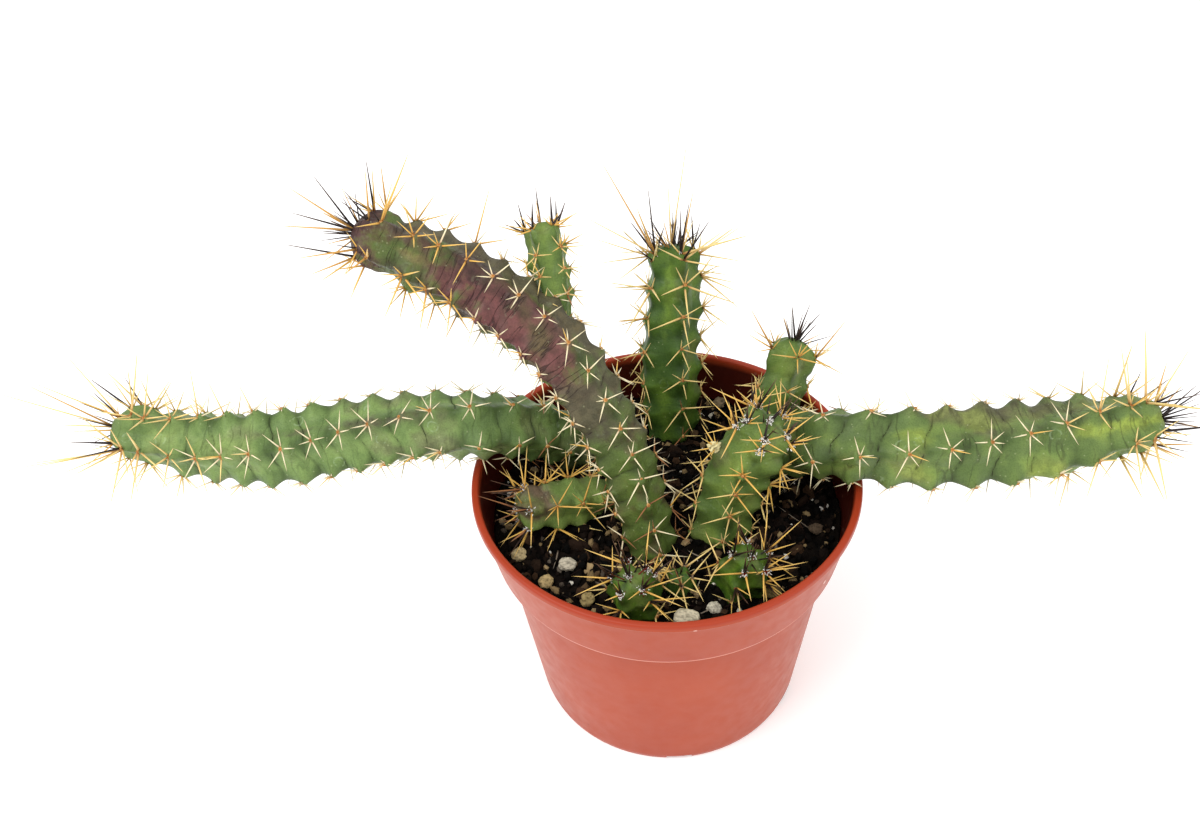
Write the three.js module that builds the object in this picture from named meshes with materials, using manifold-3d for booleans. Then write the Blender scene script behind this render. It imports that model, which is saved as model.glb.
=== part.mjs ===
// Potted lady finger cactus: a thin plastic nursery pot filled with soil, loose stones
// on the soil, and ten ribbed stems whose spines grow out of their areoles.
// Millimetres, +Z up. The origin is on the pot's axis, at the underside of its central foot.

import * as THREE from "three";
import { mergeVertices } from "three/addons/utils/BufferGeometryUtils.js";
import Module from "manifold-3d";

const wasm = await Module();
wasm.setup();

// Driving sizes of the pot
const RIM_RADIUS = 54;
const POT_HEIGHT = 80.4;
const BAND_HEIGHT = 19.8;
const BAND_FOOT_RADIUS = 49.8;
const BODY_TOP_RADIUS = 46.9;
const BASE_RADIUS = 40;
const WALL = 1.3;
const LIP_THICKNESS = 2;
const LIP_HEIGHT = 2.6;
const SHOULDER_HEIGHT = 1.4;
const FOOT_RING_WIDTH = 3;
const FOOT_ROUNDING = 1;
const FLOOR_LIFT = 2.6;
const FLOOR_THICKNESS = 1.6;
const CENTRAL_FOOT_RADIUS = 7;
const NOTCH_WIDTH = 7.6;
const NOTCH_HEIGHT = 1.5;
const NOTCH_COUNT = 6;
const DRAIN_HOLE_RADIUS = 2.6;
const DRAIN_HOLE_CIRCLE = 27;
const POT_SIDES = 40;

// Driving sizes of the soil and the stones
const SOIL_LEVEL = 66.2;
const SOIL_MOUND = 2;
const SOIL_ROUGHNESS = 0.7;
const SOIL_SIDES = 24;
const SOIL_RINGS = 4;
const SEAT_GAP = 0.35;
const WALL_GAP = 0.5;

// Driving sizes that all stems share
const RIBS = 5;
const COLUMNS_PER_RIB = 3;
const VALLEY_SHARE = 0.72;
const NOTCH_SHARE = 0.83;
const END_ROWS = [0, 0.55, 0.86];
const CURVE_TENSION = 0.5;
const FRAME_STEP = 0.5;
const RIB_SHIFTS = [0, 0.2, 0.4, -0.4, -0.2];
const FRONT = new THREE.Vector3(0, -0.74, 0.67).normalize();

// Driving sizes of the spines
const NEEDLE_RADIUS = 0.33;
const NEEDLE_ROOT = 1.8;
const NEEDLE_CLEARANCE = 1;
const NEEDLE_TO_NEEDLE = 1.3;
const WALL_CLEARANCE = 1.2;
const SPINE_STEPS = 6;
const RADIAL_RISE = 32;
const RISE_SPREAD = 14;
const RADIAL_CLOCK = 135;
const CLOCK_SPREAD = 60;
const LENGTH_SPREAD = 0.3;
const TIP_GROWTH = 0.8;
const TIP_RISE = 12;
const TIP_REACH = 24;
const CROWN_NEEDLES = 4;
const CROWN_LENGTH_SHARE = 1.6;
const CROWN_SPREAD = [30, 55];
const LIFTS = [0, 0.6, 1.4];
const SHORTENINGS = [1, 0.7];
const SPINE_SEED = 7;
const STONE_SEED = 100;

// The stems. "line" runs along the middle from under the soil to the tip. "crest" gives the
// radius over the ribs at shares of the length; the last stretch is a round end. "first" and
// "pitch" place the areoles, "turn" is the angle of the first rib from FRONT at the foot and
// at the tip, "spine" is how far its spines stand out, "hand" is the way its spiral of areoles
// climbs, and "far" holds the ends of the longest spines of the crown.
const STEMS = [
  {
    name: "stem_left_long",
    line: [
      [-17, 25, 57],
      [-24, 22, 72],
      [-35, 16, 85],
      [-50, 10.5, 92.5],
      [-67, 12, 91.8],
      [-90.5, 14, 88],
      [-106, 14.5, 86],
      [-128, 18, 85],
      [-145, 20, 88],
      [-156, 22, 91],
    ],
    crest: [
      [0, 8.5],
      [0.15, 9.5],
      [0.35, 10.4],
      [0.55, 11.6],
      [0.72, 12.2],
      [0.86, 10.8],
      [0.95, 8],
    ],
    first: 12.6,
    pitch: 8.6,
    turn: [70, -40],
    spine: 7,
    hand: 1,
    far: [
      [-177, 27, 105],
      [-183, 17, 82],
      [-163, 26, 115],
      [-171, 20, 77],
    ],
  },
  {
    name: "stem_right_long",
    line: [
      [18, 8.5, 57],
      [22.5, 8, 70],
      [30, 5.5, 80],
      [42, -2, 89.5],
      [56, -6.5, 92],
      [73, -8, 91],
      [95.5, -7.5, 90],
      [108, -6, 90],
      [121, -4, 90.5],
      [134, -2.5, 91],
    ],
    crest: [
      [0, 8.5],
      [0.15, 9.5],
      [0.3, 10.6],
      [0.5, 12],
      [0.7, 12.5],
      [0.85, 11.5],
      [0.94, 8],
    ],
    first: 14.2,
    pitch: 10.2,
    turn: [62, -47],
    spine: 7,
    hand: -1,
    far: [
      [139, 2, 112],
      [148, -5, 87],
      [126, -6, 114],
      [147, 4, 96],
    ],
  },
  {
    name: "stem_arching",
    line: [
      [-4, -17, 57],
      [-5.5, -15, 68],
      [-10.5, -8, 90],
      [-19, -1.6, 110],
      [-30, 7.3, 124.5],
      [-47.5, 17, 135.5],
      [-61, 22, 141.5],
      [-77, 25, 149.5],
    ],
    crest: [
      [0, 7.5],
      [0.12, 8.5],
      [0.3, 9],
      [0.5, 10],
      [0.7, 10.6],
      [0.85, 10.4],
      [0.94, 8],
    ],
    first: 11.7,
    pitch: 7.7,
    turn: [10, 30],
    spine: 8.5,
    hand: 1,
    far: [
      [-96, 28, 145],
      [-91, 26, 162],
      [-71, 30, 167],
      [-82, 20, 168],
      [-88, 22, 139],
    ],
    branch: {
      line: [
        [-27, 11, 122],
        [-27, 18, 130],
        [-28, 25, 137],
        [-29.5, 31, 144],
      ],
      crest: [
        [0, 4.5],
        [0.4, 6],
        [0.75, 6.2],
        [0.9, 5],
      ],
      first: 3,
      pitch: 6,
      turn: [-30, -30],
      spine: 7,
      hand: 1,
      far: [
        [-26, 36, 153],
        [-36, 32, 149],
      ],
    },
  },
  {
    name: "stem_back_upright",
    line: [
      [4.5, 30, 57],
      [4, 33, 75],
      [4.5, 39, 94],
      [6.5, 46, 109],
      [6.5, 51.5, 121],
    ],
    crest: [
      [0, 8],
      [0.2, 9.5],
      [0.45, 10.6],
      [0.62, 9.6],
      [0.8, 9.6],
      [0.93, 7.5],
    ],
    first: 12.9,
    pitch: 8.9,
    turn: [20, 20],
    spine: 10,
    hand: 1,
    far: [
      [-12, 52, 149],
      [11, 56, 153],
      [-4, 58, 138],
      [27, 50, 126],
      [-14, 48, 129],
    ],
  },
  {
    name: "stem_back_right",
    line: [
      [30, 24.5, 57],
      [32.5, 25, 68],
      [34.6, 25, 82],
      [40.5, 32, 99],
    ],
    crest: [
      [0, 7],
      [0.3, 8.2],
      [0.6, 8.4],
      [0.85, 7.4],
    ],
    first: 13,
    pitch: 9,
    turn: [10, 10],
    spine: 8,
    hand: 1,
    far: [
      [29, 32, 107],
      [45, 36, 108],
      [53, 34, 104],
    ],
  },
  {
    name: "stem_centre_right",
    line: [
      [12, -12.5, 57],
      [14, -10.5, 68],
      [18.5, -8, 86],
      [23, -9.5, 98],
      [26, -11, 107],
    ],
    crest: [
      [0, 8],
      [0.25, 9.3],
      [0.55, 10.2],
      [0.8, 10],
      [0.92, 7.5],
    ],
    first: 13,
    pitch: 9,
    turn: [5, 5],
    spine: 8.5,
    hand: 1,
    far: [
      [38, -14, 116],
      [22, -6, 121],
    ],
  },
  {
    name: "stem_left_short",
    line: [
      [-12, 8, 58],
      [-19, 3, 68],
      [-29, -2.5, 73.5],
      [-41.5, -7, 76.5],
    ],
    crest: [
      [0, 6.5],
      [0.35, 7.8],
      [0.7, 8.2],
      [0.9, 6.5],
    ],
    first: 10.6,
    pitch: 6.6,
    turn: [-4, -4],
    spine: 7.5,
    hand: 1,
    far: [
      [-52, -12, 85],
      [-49, -3, 90],
    ],
  },
  {
    name: "stem_front_left",
    line: [
      [-8.5, -34, 57],
      [-10, -35.5, 68],
      [-12.5, -38, 81.5],
    ],
    crest: [
      [0, 6.5],
      [0.4, 7.8],
      [0.75, 7.8],
      [0.92, 5.2],
    ],
    first: 11.5,
    pitch: 7.5,
    turn: [-45, -45],
    spine: 7.5,
    hand: 1,
    far: [
      [-20, -44, 91],
      [-6, -44, 92],
    ],
  },
  {
    name: "stem_front_right",
    line: [
      [16, -28, 57],
      [17, -30, 68],
      [19.5, -33.5, 81],
    ],
    crest: [
      [0, 6.5],
      [0.4, 8],
      [0.75, 7.8],
      [0.92, 5.2],
    ],
    first: 11.5,
    pitch: 7.5,
    turn: [-12, -12],
    spine: 7.5,
    hand: 1,
    far: [
      [30, -38, 89],
      [16, -42, 92],
    ],
  },
  {
    name: "stem_front_tiny",
    line: [
      [2, -29, 58],
      [1.6, -30, 66],
      [1, -31, 73],
    ],
    crest: [
      [0, 4],
      [0.4, 5],
      [0.75, 5],
      [0.92, 3.6],
    ],
    first: 8,
    pitch: 5,
    turn: [0, 0],
    spine: 5,
    hand: 1,
    far: [[-1, -35, 82]],
  },
];

// The stones: centre, and half sizes along X, Y and Z
const STONES = [
  { at: [1.8, -42.6, 69], half: [3.8, 2.9, 2.6] },
  { at: [-41.6, -15.6, 67.6], half: [2.4, 2.1, 1.8] },
  { at: [9.5, -38.5, 67.8], half: [2.1, 1.8, 1.6] },
  { at: [25.5, -34.5, 67.6], half: [2.4, 2, 1.6] },
  { at: [-34.5, -26, 67.6], half: [2.3, 2.2, 1.8] },
  { at: [40.5, -13, 67.5], half: [2.1, 1.7, 1.5] },
  { at: [-23.5, -33, 67.6], half: [2, 2.3, 1.6] },
  { at: [-28.5, -20.5, 67.9], half: [2.6, 2, 1.9] },
  { at: [20.5, 42, 67.4], half: [2.4, 2.2, 1.7] },
  { at: [-38, 0, 67.2], half: [1.8, 2, 1.5] },
];

const COLOURS = {
  pot: { color: 0xb0513c, roughness: 0.42 },
  soil: { color: 0x2a1f19, roughness: 0.98 },
  stone: { color: 0xcdbfa4, roughness: 0.95 },
  stem: { color: 0x4f8a3c, roughness: 0.55 },
  stemPurple: { color: 0x6b5a52, roughness: 0.6 },
};

// A seeded stream of numbers from 0 to 1
function seeded(seed) {
  let state = seed >>> 0;
  return () => {
    state = (state + 0x6d2b79f5) >>> 0;
    let t = Math.imul(state ^ (state >>> 15), 1 | state);
    t = (t + Math.imul(t ^ (t >>> 7), 61 | t)) ^ t;
    return ((t ^ (t >>> 14)) >>> 0) / 4294967296;
  };
}

// A closed geometry as a solid
function solidOf(geometry) {
  const bare = geometry.clone();
  bare.deleteAttribute("normal");
  bare.deleteAttribute("uv");
  const merged = mergeVertices(bare, 1e-4);
  return new wasm.Manifold(
    new wasm.Mesh({
      numProp: 3,
      vertProperties: new Float32Array(merged.attributes.position.array),
      triVerts: new Uint32Array(merged.index.array),
    }),
  );
}

// A solid as a geometry, keeping its largest body and dropping slivers
function geometryOf(solid) {
  const bodies = solid.simplify(0.004).decompose();
  const largest = bodies.reduce((a, b) => (b.volume() > a.volume() ? b : a));
  const mesh = largest.getMesh();
  const geometry = new THREE.BufferGeometry();
  geometry.setAttribute("position", new THREE.BufferAttribute(mesh.vertProperties, 3));
  geometry.setIndex(new THREE.BufferAttribute(mesh.triVerts, 1));
  return geometry;
}

// A surface of revolution about Z from [radius, height] points
function turned(profile, sides) {
  const points = profile.map(([radius, height]) => new THREE.Vector2(radius, height));
  return new THREE.LatheGeometry(points, sides).rotateX(Math.PI / 2);
}

// The pot

const bandFoot = POT_HEIGHT - BAND_HEIGHT;
const shoulder = bandFoot - SHOULDER_HEIGHT;
const floorTop = FLOOR_LIFT + FLOOR_THICKNESS;
const lipInner = RIM_RADIUS - LIP_THICKNESS;
const footOuter = BASE_RADIUS - FOOT_ROUNDING;
const footInner = footOuter - FOOT_RING_WIDTH;

// The inner wall: straight through the band and through the body, with a step between them
function innerRadius(z) {
  if (z > bandFoot) {
    const share = (z - bandFoot) / BAND_HEIGHT;
    return BAND_FOOT_RADIUS - WALL + share * (lipInner - BAND_FOOT_RADIUS + WALL);
  }
  return BASE_RADIUS - WALL + (z / bandFoot) * (BODY_TOP_RADIUS - BASE_RADIUS);
}

function potSolid() {
  const profile = [
    [0, 0],
    [CENTRAL_FOOT_RADIUS, 0],
    [CENTRAL_FOOT_RADIUS + FOOT_ROUNDING, FLOOR_LIFT],
    [footInner - FOOT_ROUNDING, FLOOR_LIFT],
    [footInner, 0],
    [footOuter, 0],
    [BASE_RADIUS, FOOT_ROUNDING],
    [BODY_TOP_RADIUS, shoulder],
    [BAND_FOOT_RADIUS - 0.5, bandFoot - 0.6],
    [BAND_FOOT_RADIUS, bandFoot],
    [RIM_RADIUS - 0.9, POT_HEIGHT - LIP_HEIGHT],
    [RIM_RADIUS, POT_HEIGHT - 0.6 * LIP_HEIGHT],
    [RIM_RADIUS - 0.6, POT_HEIGHT],
    [lipInner, POT_HEIGHT - 0.4],
    [innerRadius(bandFoot + 0.2), bandFoot + 0.2],
    [innerRadius(shoulder + 0.2), shoulder + 0.2],
    [innerRadius(floorTop + 2), floorTop + 2],
    [innerRadius(floorTop) - 1.4, floorTop],
    [0, floorTop],
  ];
  let solid = solidOf(turned(profile, POT_SIDES));
  for (let i = 0; i < NOTCH_COUNT; i++) {
    const angle = -Math.PI / 2 + (i * 2 * Math.PI) / NOTCH_COUNT;
    const notch = new THREE.BoxGeometry(FOOT_RING_WIDTH + 6, NOTCH_WIDTH, 2 * NOTCH_HEIGHT)
      .translate(BASE_RADIUS - FOOT_RING_WIDTH / 2, 0, 0)
      .rotateZ(angle);
    const hole = new THREE.CylinderGeometry(DRAIN_HOLE_RADIUS, DRAIN_HOLE_RADIUS, 12, 12)
      .rotateX(Math.PI / 2)
      .translate(DRAIN_HOLE_CIRCLE, 0, floorTop)
      .rotateZ(angle + Math.PI / NOTCH_COUNT);
    solid = solid.subtract(solidOf(notch)).subtract(solidOf(hole));
  }
  return solid;
}

// The soil: its top is a low mound with a waved, crumbly surface

const soilEdge = innerRadius(SOIL_LEVEL) - WALL_GAP;

function soilTop(x, y) {
  const reach = Math.hypot(x, y) / soilEdge;
  const mound = SOIL_MOUND * Math.max(0, 1 - reach * reach);
  const waves =
    Math.sin(0.31 * x + 1.3) * Math.cos(0.27 * y) + 0.6 * Math.sin(0.71 * x - 0.53 * y + 2);
  return SOIL_LEVEL + mound + SOIL_ROUGHNESS * waves;
}

function soilSolid() {
  const profile = [
    [0, floorTop + SEAT_GAP],
    [innerRadius(floorTop) - 1.4 - WALL_GAP, floorTop + SEAT_GAP],
    [innerRadius(floorTop + 2) - WALL_GAP, floorTop + 2 + SEAT_GAP],
    [innerRadius(shoulder + 0.2) - WALL_GAP, shoulder + 0.2],
    [innerRadius(bandFoot + 0.2) - WALL_GAP - 0.1, bandFoot + 0.2 + SEAT_GAP],
    [soilEdge, SOIL_LEVEL],
  ];
  for (let ring = SOIL_RINGS; ring >= 1; ring--) {
    profile.push([(soilEdge * ring) / (SOIL_RINGS + 1), SOIL_LEVEL]);
  }
  profile.push([0, SOIL_LEVEL]);
  const geometry = turned(profile, SOIL_SIDES);
  const position = geometry.attributes.position;
  for (let i = 0; i < position.count; i++) {
    const x = position.getX(i);
    const y = position.getY(i);
    if (position.getZ(i) > SOIL_LEVEL - 0.01) position.setZ(i, soilTop(x, y));
  }
  return solidOf(geometry);
}

// A stone: a ball of few faces pushed in and out at its corners, then stretched

function stoneSolid(stone, index, grow = 0) {
  const random = seeded(STONE_SEED + index);
  const bump = [random() * 6, random() * 6, random() * 6];
  const geometry = new THREE.DodecahedronGeometry(1);
  const position = geometry.attributes.position;
  const point = new THREE.Vector3();
  for (let i = 0; i < position.count; i++) {
    point.fromBufferAttribute(position, i);
    const wave =
      Math.sin(3.1 * point.x + bump[0]) +
      Math.sin(3.7 * point.y + bump[1]) +
      Math.sin(3.3 * point.z + bump[2]);
    point.multiplyScalar(0.92 + 0.07 * wave);
    position.setXYZ(i, point.x, point.y, point.z);
  }
  geometry.scale(...stone.half.map((half) => half + grow));
  return solidOf(geometry.translate(...stone.at));
}

// The stems

function lineOf(stem) {
  const points = stem.line.map((p) => new THREE.Vector3(...p));
  const curve = new THREE.CatmullRomCurve3(points, false, "catmullrom", CURVE_TENSION);
  curve.arcLengthDivisions = 400;
  return curve;
}

// Everything that the functions below need to know about one stem
function measured(stem) {
  const curve = lineOf(stem);
  const length = curve.getLength();
  const roundEnd = length * stem.crest.at(-1)[0];
  return { ...stem, curve, length, roundEnd };
}

// The radius over the ribs at a distance from the foot; past the last station the end is round
function crestRadius(stem, distance) {
  const share = distance / stem.length;
  const stations = stem.crest;
  const [lastShare, lastRadius] = stations.at(-1);
  if (share >= lastShare) {
    const past = Math.min(1, (share - lastShare) / (1 - lastShare));
    return lastRadius * Math.sqrt(Math.max(0, 1 - past * past));
  }
  const next = stations.findIndex(([station]) => station > share);
  const [shareA, radiusA] = stations[next - 1];
  const [shareB, radiusB] = stations[next];
  return radiusA + ((share - shareA) / (shareB - shareA)) * (radiusB - radiusA);
}

// Along, front and side directions of the stem at a distance from the foot
function frameAt(stem, distance) {
  const before = stem.curve.getPointAt(Math.max(0, distance - FRAME_STEP) / stem.length);
  const after = stem.curve.getPointAt(Math.min(1, (distance + FRAME_STEP) / stem.length));
  const along = after.sub(before).normalize();
  const front = FRONT.clone().addScaledVector(along, -along.dot(FRONT)).normalize();
  const side = along.clone().cross(front);
  return { along, front, side };
}

// The direction that points straight out of the stem at an angle from its front
function outward(frame, angle) {
  return frame.front
    .clone()
    .multiplyScalar(Math.cos(angle))
    .addScaledVector(frame.side, Math.sin(angle));
}

function ribAngle(stem, distance, rib) {
  const share = distance / stem.length;
  const turn = stem.turn[0] + share * (stem.turn[1] - stem.turn[0]);
  return THREE.MathUtils.degToRad(turn) + (rib * 2 * Math.PI) / RIBS;
}

// How far along a row of areoles lies at a rib. Neighbouring ribs are shifted by a part of the
// pitch, and the shift fades out at the foot and at the round end.
function shifted(stem, distance, rib) {
  const whole = Math.floor(rib);
  const from = RIB_SHIFTS[whole % RIBS];
  const to = RIB_SHIFTS[(whole + 1) % RIBS];
  const shift = from + (rib - whole) * (to - from);
  const room = Math.min(distance, stem.roundEnd - distance) / stem.pitch;
  const fade = Math.min(1, Math.max(0, room));
  return distance + stem.hand * shift * stem.pitch * fade;
}

// Distances of the rows: a row of crests and a row of notches for each areole, then the end
function rowsOf(stem) {
  const rows = [{ distance: 0, crest: false }];
  const half = stem.pitch / 2;
  for (let j = 0; stem.first + j * half < stem.roundEnd - half / 2; j++) {
    rows.push({ distance: stem.first + j * half, crest: j % 2 === 0, areole: j % 2 === 0 });
  }
  const endLength = stem.length - stem.roundEnd;
  for (const share of END_ROWS) {
    rows.push({ distance: stem.roundEnd + share * endLength, crest: true });
  }
  return rows;
}

// True for the ribs whose faces are split the other way, with their spines turned to match
function leansLeft(rib) {
  return rib % 2 === 1;
}

// The ribbed body. A row's points stand at the crest of each rib and at places in the valley
// between ribs.
function bodySolid(stem) {
  return ribbedSolid(stem, COLUMNS_PER_RIB, 0);
}

// What the body takes out of the soil: fewer points, no notches, and wider by the seat's gap
function holeSolid(stem) {
  return ribbedSolid(stem, 2, SEAT_GAP);
}

function ribbedSolid(stem, columnsPerRib, grow) {
  const rows = rowsOf(stem);
  const columns = RIBS * columnsPerRib;
  const positions = [];
  for (const row of rows) {
    for (let column = 0; column < columns; column++) {
      const rib = column / columnsPerRib;
      const onCrest = column % columnsPerRib === 0;
      const distance = shifted(stem, row.distance, rib);
      const frame = frameAt(stem, distance);
      let radius = crestRadius(stem, distance);
      if (!onCrest) radius *= VALLEY_SHARE;
      else if (!row.crest && grow === 0) radius *= NOTCH_SHARE;
      const point = stem.curve
        .getPointAt(Math.min(1, distance / stem.length))
        .addScaledVector(outward(frame, ribAngle(stem, distance, rib)), radius + grow);
      if (row.distance === 0) point.addScaledVector(frame.along, -grow);
      positions.push(point.x, point.y, point.z);
    }
  }
  const foot = stem.curve.getPointAt(0).addScaledVector(frameAt(stem, 0).along, -grow);
  const tip = stem.curve.getPointAt(1).addScaledVector(frameAt(stem, stem.length).along, grow);
  positions.push(foot.x, foot.y, foot.z, tip.x, tip.y, tip.z);
  const footIndex = rows.length * columns;
  const tipIndex = footIndex + 1;
  const index = [];
  for (let column = 0; column < columns; column++) {
    const next = (column + 1) % columns;
    for (let row = 0; row + 1 < rows.length; row++) {
      const a = row * columns + column;
      const b = row * columns + next;
      if (leansLeft(Math.round(column / columnsPerRib) % RIBS)) {
        index.push(a, b, a + columns, b, b + columns, a + columns);
      } else {
        index.push(a, b, b + columns, a, b + columns, a + columns);
      }
    }
    const top = (rows.length - 1) * columns;
    index.push(footIndex, next, column, tipIndex, top + column, top + next);
  }
  const geometry = new THREE.BufferGeometry();
  geometry.setAttribute("position", new THREE.Float32BufferAttribute(positions, 3));
  geometry.setIndex(index);
  return solidOf(geometry);
}

// Places where other pieces are, for keeping spines clear: points with a radius
function guardsOf(stem, owner) {
  const guards = [];
  for (let distance = 0; distance <= stem.length; distance += 2) {
    const point = stem.curve.getPointAt(distance / stem.length);
    guards.push({ owner, point, radius: crestRadius(stem, distance) });
  }
  return guards;
}

// The shortest distance between two straight stretches
function stretchGap(a0, a1, b0, b1) {
  let least = Infinity;
  const line = new THREE.Line3(b0, b1);
  const point = new THREE.Vector3();
  const nearest = new THREE.Vector3();
  for (let step = 0; step <= SPINE_STEPS; step++) {
    point.lerpVectors(a0, a1, step / SPINE_STEPS);
    line.closestPointToPoint(point, true, nearest);
    least = Math.min(least, point.distanceTo(nearest));
  }
  return least;
}

function nearPotOrSoil(point) {
  const across = Math.hypot(point.x, point.y);
  if (across > RIM_RADIUS + WALL_CLEARANCE) return false;
  const overWall = across > innerRadius(Math.min(point.z, POT_HEIGHT)) - WALL_CLEARANCE;
  if (overWall && point.z < POT_HEIGHT + WALL_CLEARANCE) return true;
  return point.z < soilTop(point.x, point.y) + WALL_CLEARANCE;
}

// True where a spine comes too near the pot, the soil, a stone, another stem or its spines
function crosses(root, end, owner, guards, placed) {
  const point = new THREE.Vector3();
  for (let step = 1; step <= SPINE_STEPS; step++) {
    point.lerpVectors(root, end, step / SPINE_STEPS);
    if (nearPotOrSoil(point)) return true;
    for (const guard of guards) {
      if (guard.owner === owner) continue;
      if (point.distanceTo(guard.point) < guard.radius + NEEDLE_CLEARANCE) return true;
    }
  }
  return placed.some(
    (other) =>
      other.owner !== owner &&
      stretchGap(root, end, other.root, other.end) < NEEDLE_TO_NEEDLE,
  );
}

// A three-sided needle from its root, under the areole, to its end
function needleSolid(root, end) {
  const direction = end.clone().sub(root).normalize();
  const length = root.distanceTo(end);
  const turn = new THREE.Quaternion().setFromUnitVectors(new THREE.Vector3(0, 1, 0), direction);
  const geometry = new THREE.ConeGeometry(NEEDLE_RADIUS, length, 3)
    .translate(0, length / 2, 0)
    .applyQuaternion(turn)
    .translate(root.x, root.y, root.z);
  return solidOf(geometry);
}

// The spines that each stem wants, as directions and lengths at its areoles and its crown
function wantedSpines(stem, random) {
  const wanted = [];
  const areoleRows = rowsOf(stem).filter((row) => row.areole);
  for (const row of areoleRows) {
    for (let rib = 0; rib < RIBS; rib++) {
      const distance = shifted(stem, row.distance, rib);
      const frame = frameAt(stem, distance);
      const out = outward(frame, ribAngle(stem, distance, rib));
      const across = frame.along.clone().cross(out);
      const root = stem.curve
        .getPointAt(distance / stem.length)
        .addScaledVector(out, crestRadius(stem, distance) - NEEDLE_ROOT);
      const nearTip = Math.max(0, 1 - (stem.length - distance) / TIP_REACH);
      const length = NEEDLE_ROOT + stem.spine * (1 + TIP_GROWTH * nearTip);
      const clock = leansLeft(rib) ? -RADIAL_CLOCK : RADIAL_CLOCK;
      for (const half of [0, 180]) {
        const around = THREE.MathUtils.degToRad(clock + half + CLOCK_SPREAD * (random() - 0.5));
        const degrees = RADIAL_RISE + RISE_SPREAD * random() + TIP_RISE * nearTip;
        const rise = THREE.MathUtils.degToRad(degrees);
        const flat = frame.along
          .clone()
          .multiplyScalar(Math.cos(around))
          .addScaledVector(across, Math.sin(around));
        const direction = flat.multiplyScalar(Math.cos(rise)).addScaledVector(out, Math.sin(rise));
        const stretch = 1 + LENGTH_SPREAD * (random() - 0.5);
        wanted.push({ root, out, direction, length: length * stretch });
      }
    }
  }
  return wanted.concat(crownSpines(stem, random));
}

// The tuft at the growing tip, with its longest spines ending where "far" says
function crownSpines(stem, random) {
  const frame = frameAt(stem, stem.length);
  const tip = stem.curve.getPointAt(1).addScaledVector(frame.along, -NEEDLE_ROOT);
  const wanted = stem.far.map((place) => {
    const reach = new THREE.Vector3(...place).sub(tip);
    const length = reach.length();
    return { root: tip, out: frame.along, direction: reach.normalize(), length };
  });
  const length = CROWN_LENGTH_SHARE * stem.crest.at(-1)[1];
  for (let i = 0; i < CROWN_NEEDLES; i++) {
    const around = ((i + 0.6 * random()) * 2 * Math.PI) / CROWN_NEEDLES;
    const degrees = THREE.MathUtils.lerp(...CROWN_SPREAD, random());
    const spread = THREE.MathUtils.degToRad(degrees);
    const direction = outward(frame, around)
      .multiplyScalar(Math.sin(spread))
      .addScaledVector(frame.along, Math.cos(spread));
    wanted.push({ root: tip, out: frame.along, direction, length });
  }
  return wanted;
}

// Tries a spine as it wants to grow, then bent clear, then shorter; none fits: it is left out
function placeSpine(spine, owner, guards, placed) {
  for (const shorter of SHORTENINGS) {
    for (const lift of LIFTS) {
      const direction = spine.direction.clone().addScaledVector(spine.out, lift).normalize();
      const end = spine.root.clone().addScaledVector(direction, spine.length * shorter);
      if (!crosses(spine.root, end, owner, guards, placed)) {
        placed.push({ owner, root: spine.root, end });
        return;
      }
    }
  }
}

function material({ color, roughness }) {
  return new THREE.MeshStandardMaterial({ color, roughness, metalness: 0 });
}

function named(name, solid, look) {
  const mesh = new THREE.Mesh(geometryOf(solid), material(look));
  mesh.geometry.computeVertexNormals();
  mesh.name = name;
  return mesh;
}

// Assembly

const stems = STEMS.map((stem) => {
  const parts = [measured(stem)];
  if (stem.branch) parts.push(measured(stem.branch));
  return { name: stem.name, parts };
});
const guards = stems.flatMap(({ name, parts }) => parts.flatMap((part) => guardsOf(part, name)));
STONES.forEach(({ at, half }) => {
  guards.push({ owner: "stone", point: new THREE.Vector3(...at), radius: Math.max(...half) });
});

const random = seeded(SPINE_SEED);
const placed = [];
for (const { name, parts } of stems) {
  for (const part of parts) {
    for (const spine of wantedSpines(part, random)) placeSpine(spine, name, guards, placed);
  }
}

const potted = new THREE.Group();
potted.name = "potted_lady_finger_cactus";

const container = new THREE.Group();
container.add(named("pot", potSolid(), COLOURS.pot));

const ground = new THREE.Group();
let soil = soilSolid();
for (const { parts } of stems) soil = soil.subtract(holeSolid(parts[0]));
STONES.forEach((stone, index) => {
  soil = soil.subtract(stoneSolid(stone, index, SEAT_GAP));
  const name = "stone_" + String(index + 1).padStart(2, "0");
  ground.add(named(name, stoneSolid(stone, index), COLOURS.stone));
});
ground.add(named("soil", soil, COLOURS.soil));

const plant = new THREE.Group();
for (const { name, parts } of stems) {
  const needles = placed
    .filter((spine) => spine.owner === name)
    .map((spine) => needleSolid(spine.root, spine.end));
  const bodies = parts.map((part) => bodySolid(part));
  const look = name === "stem_arching" ? COLOURS.stemPurple : COLOURS.stem;
  plant.add(named(name, wasm.Manifold.union([...bodies, ...needles]), look));
}

potted.add(container, ground, plant);

export default potted;
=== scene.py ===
"""Looks of the potted lady finger cactus: a plastic nursery pot, gritty soil and ten spiny stems.

Shapes are given in millimetres, which become metres when a mesh is made, and finishes in metres.
The frame has +Z up, +X to the right and +Y to the back. Every stem is described by a line through
its middle, and its skin, areoles and spines are worked out from that line.
"""

import logging
import math
from dataclasses import dataclass, field, replace
from enum import Enum
from functools import cache, partial, reduce
from itertools import combinations
from typing import Mapping, Optional, Sequence, Union

import bpy
import numpy as np
from mathutils import Matrix, Vector


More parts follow.
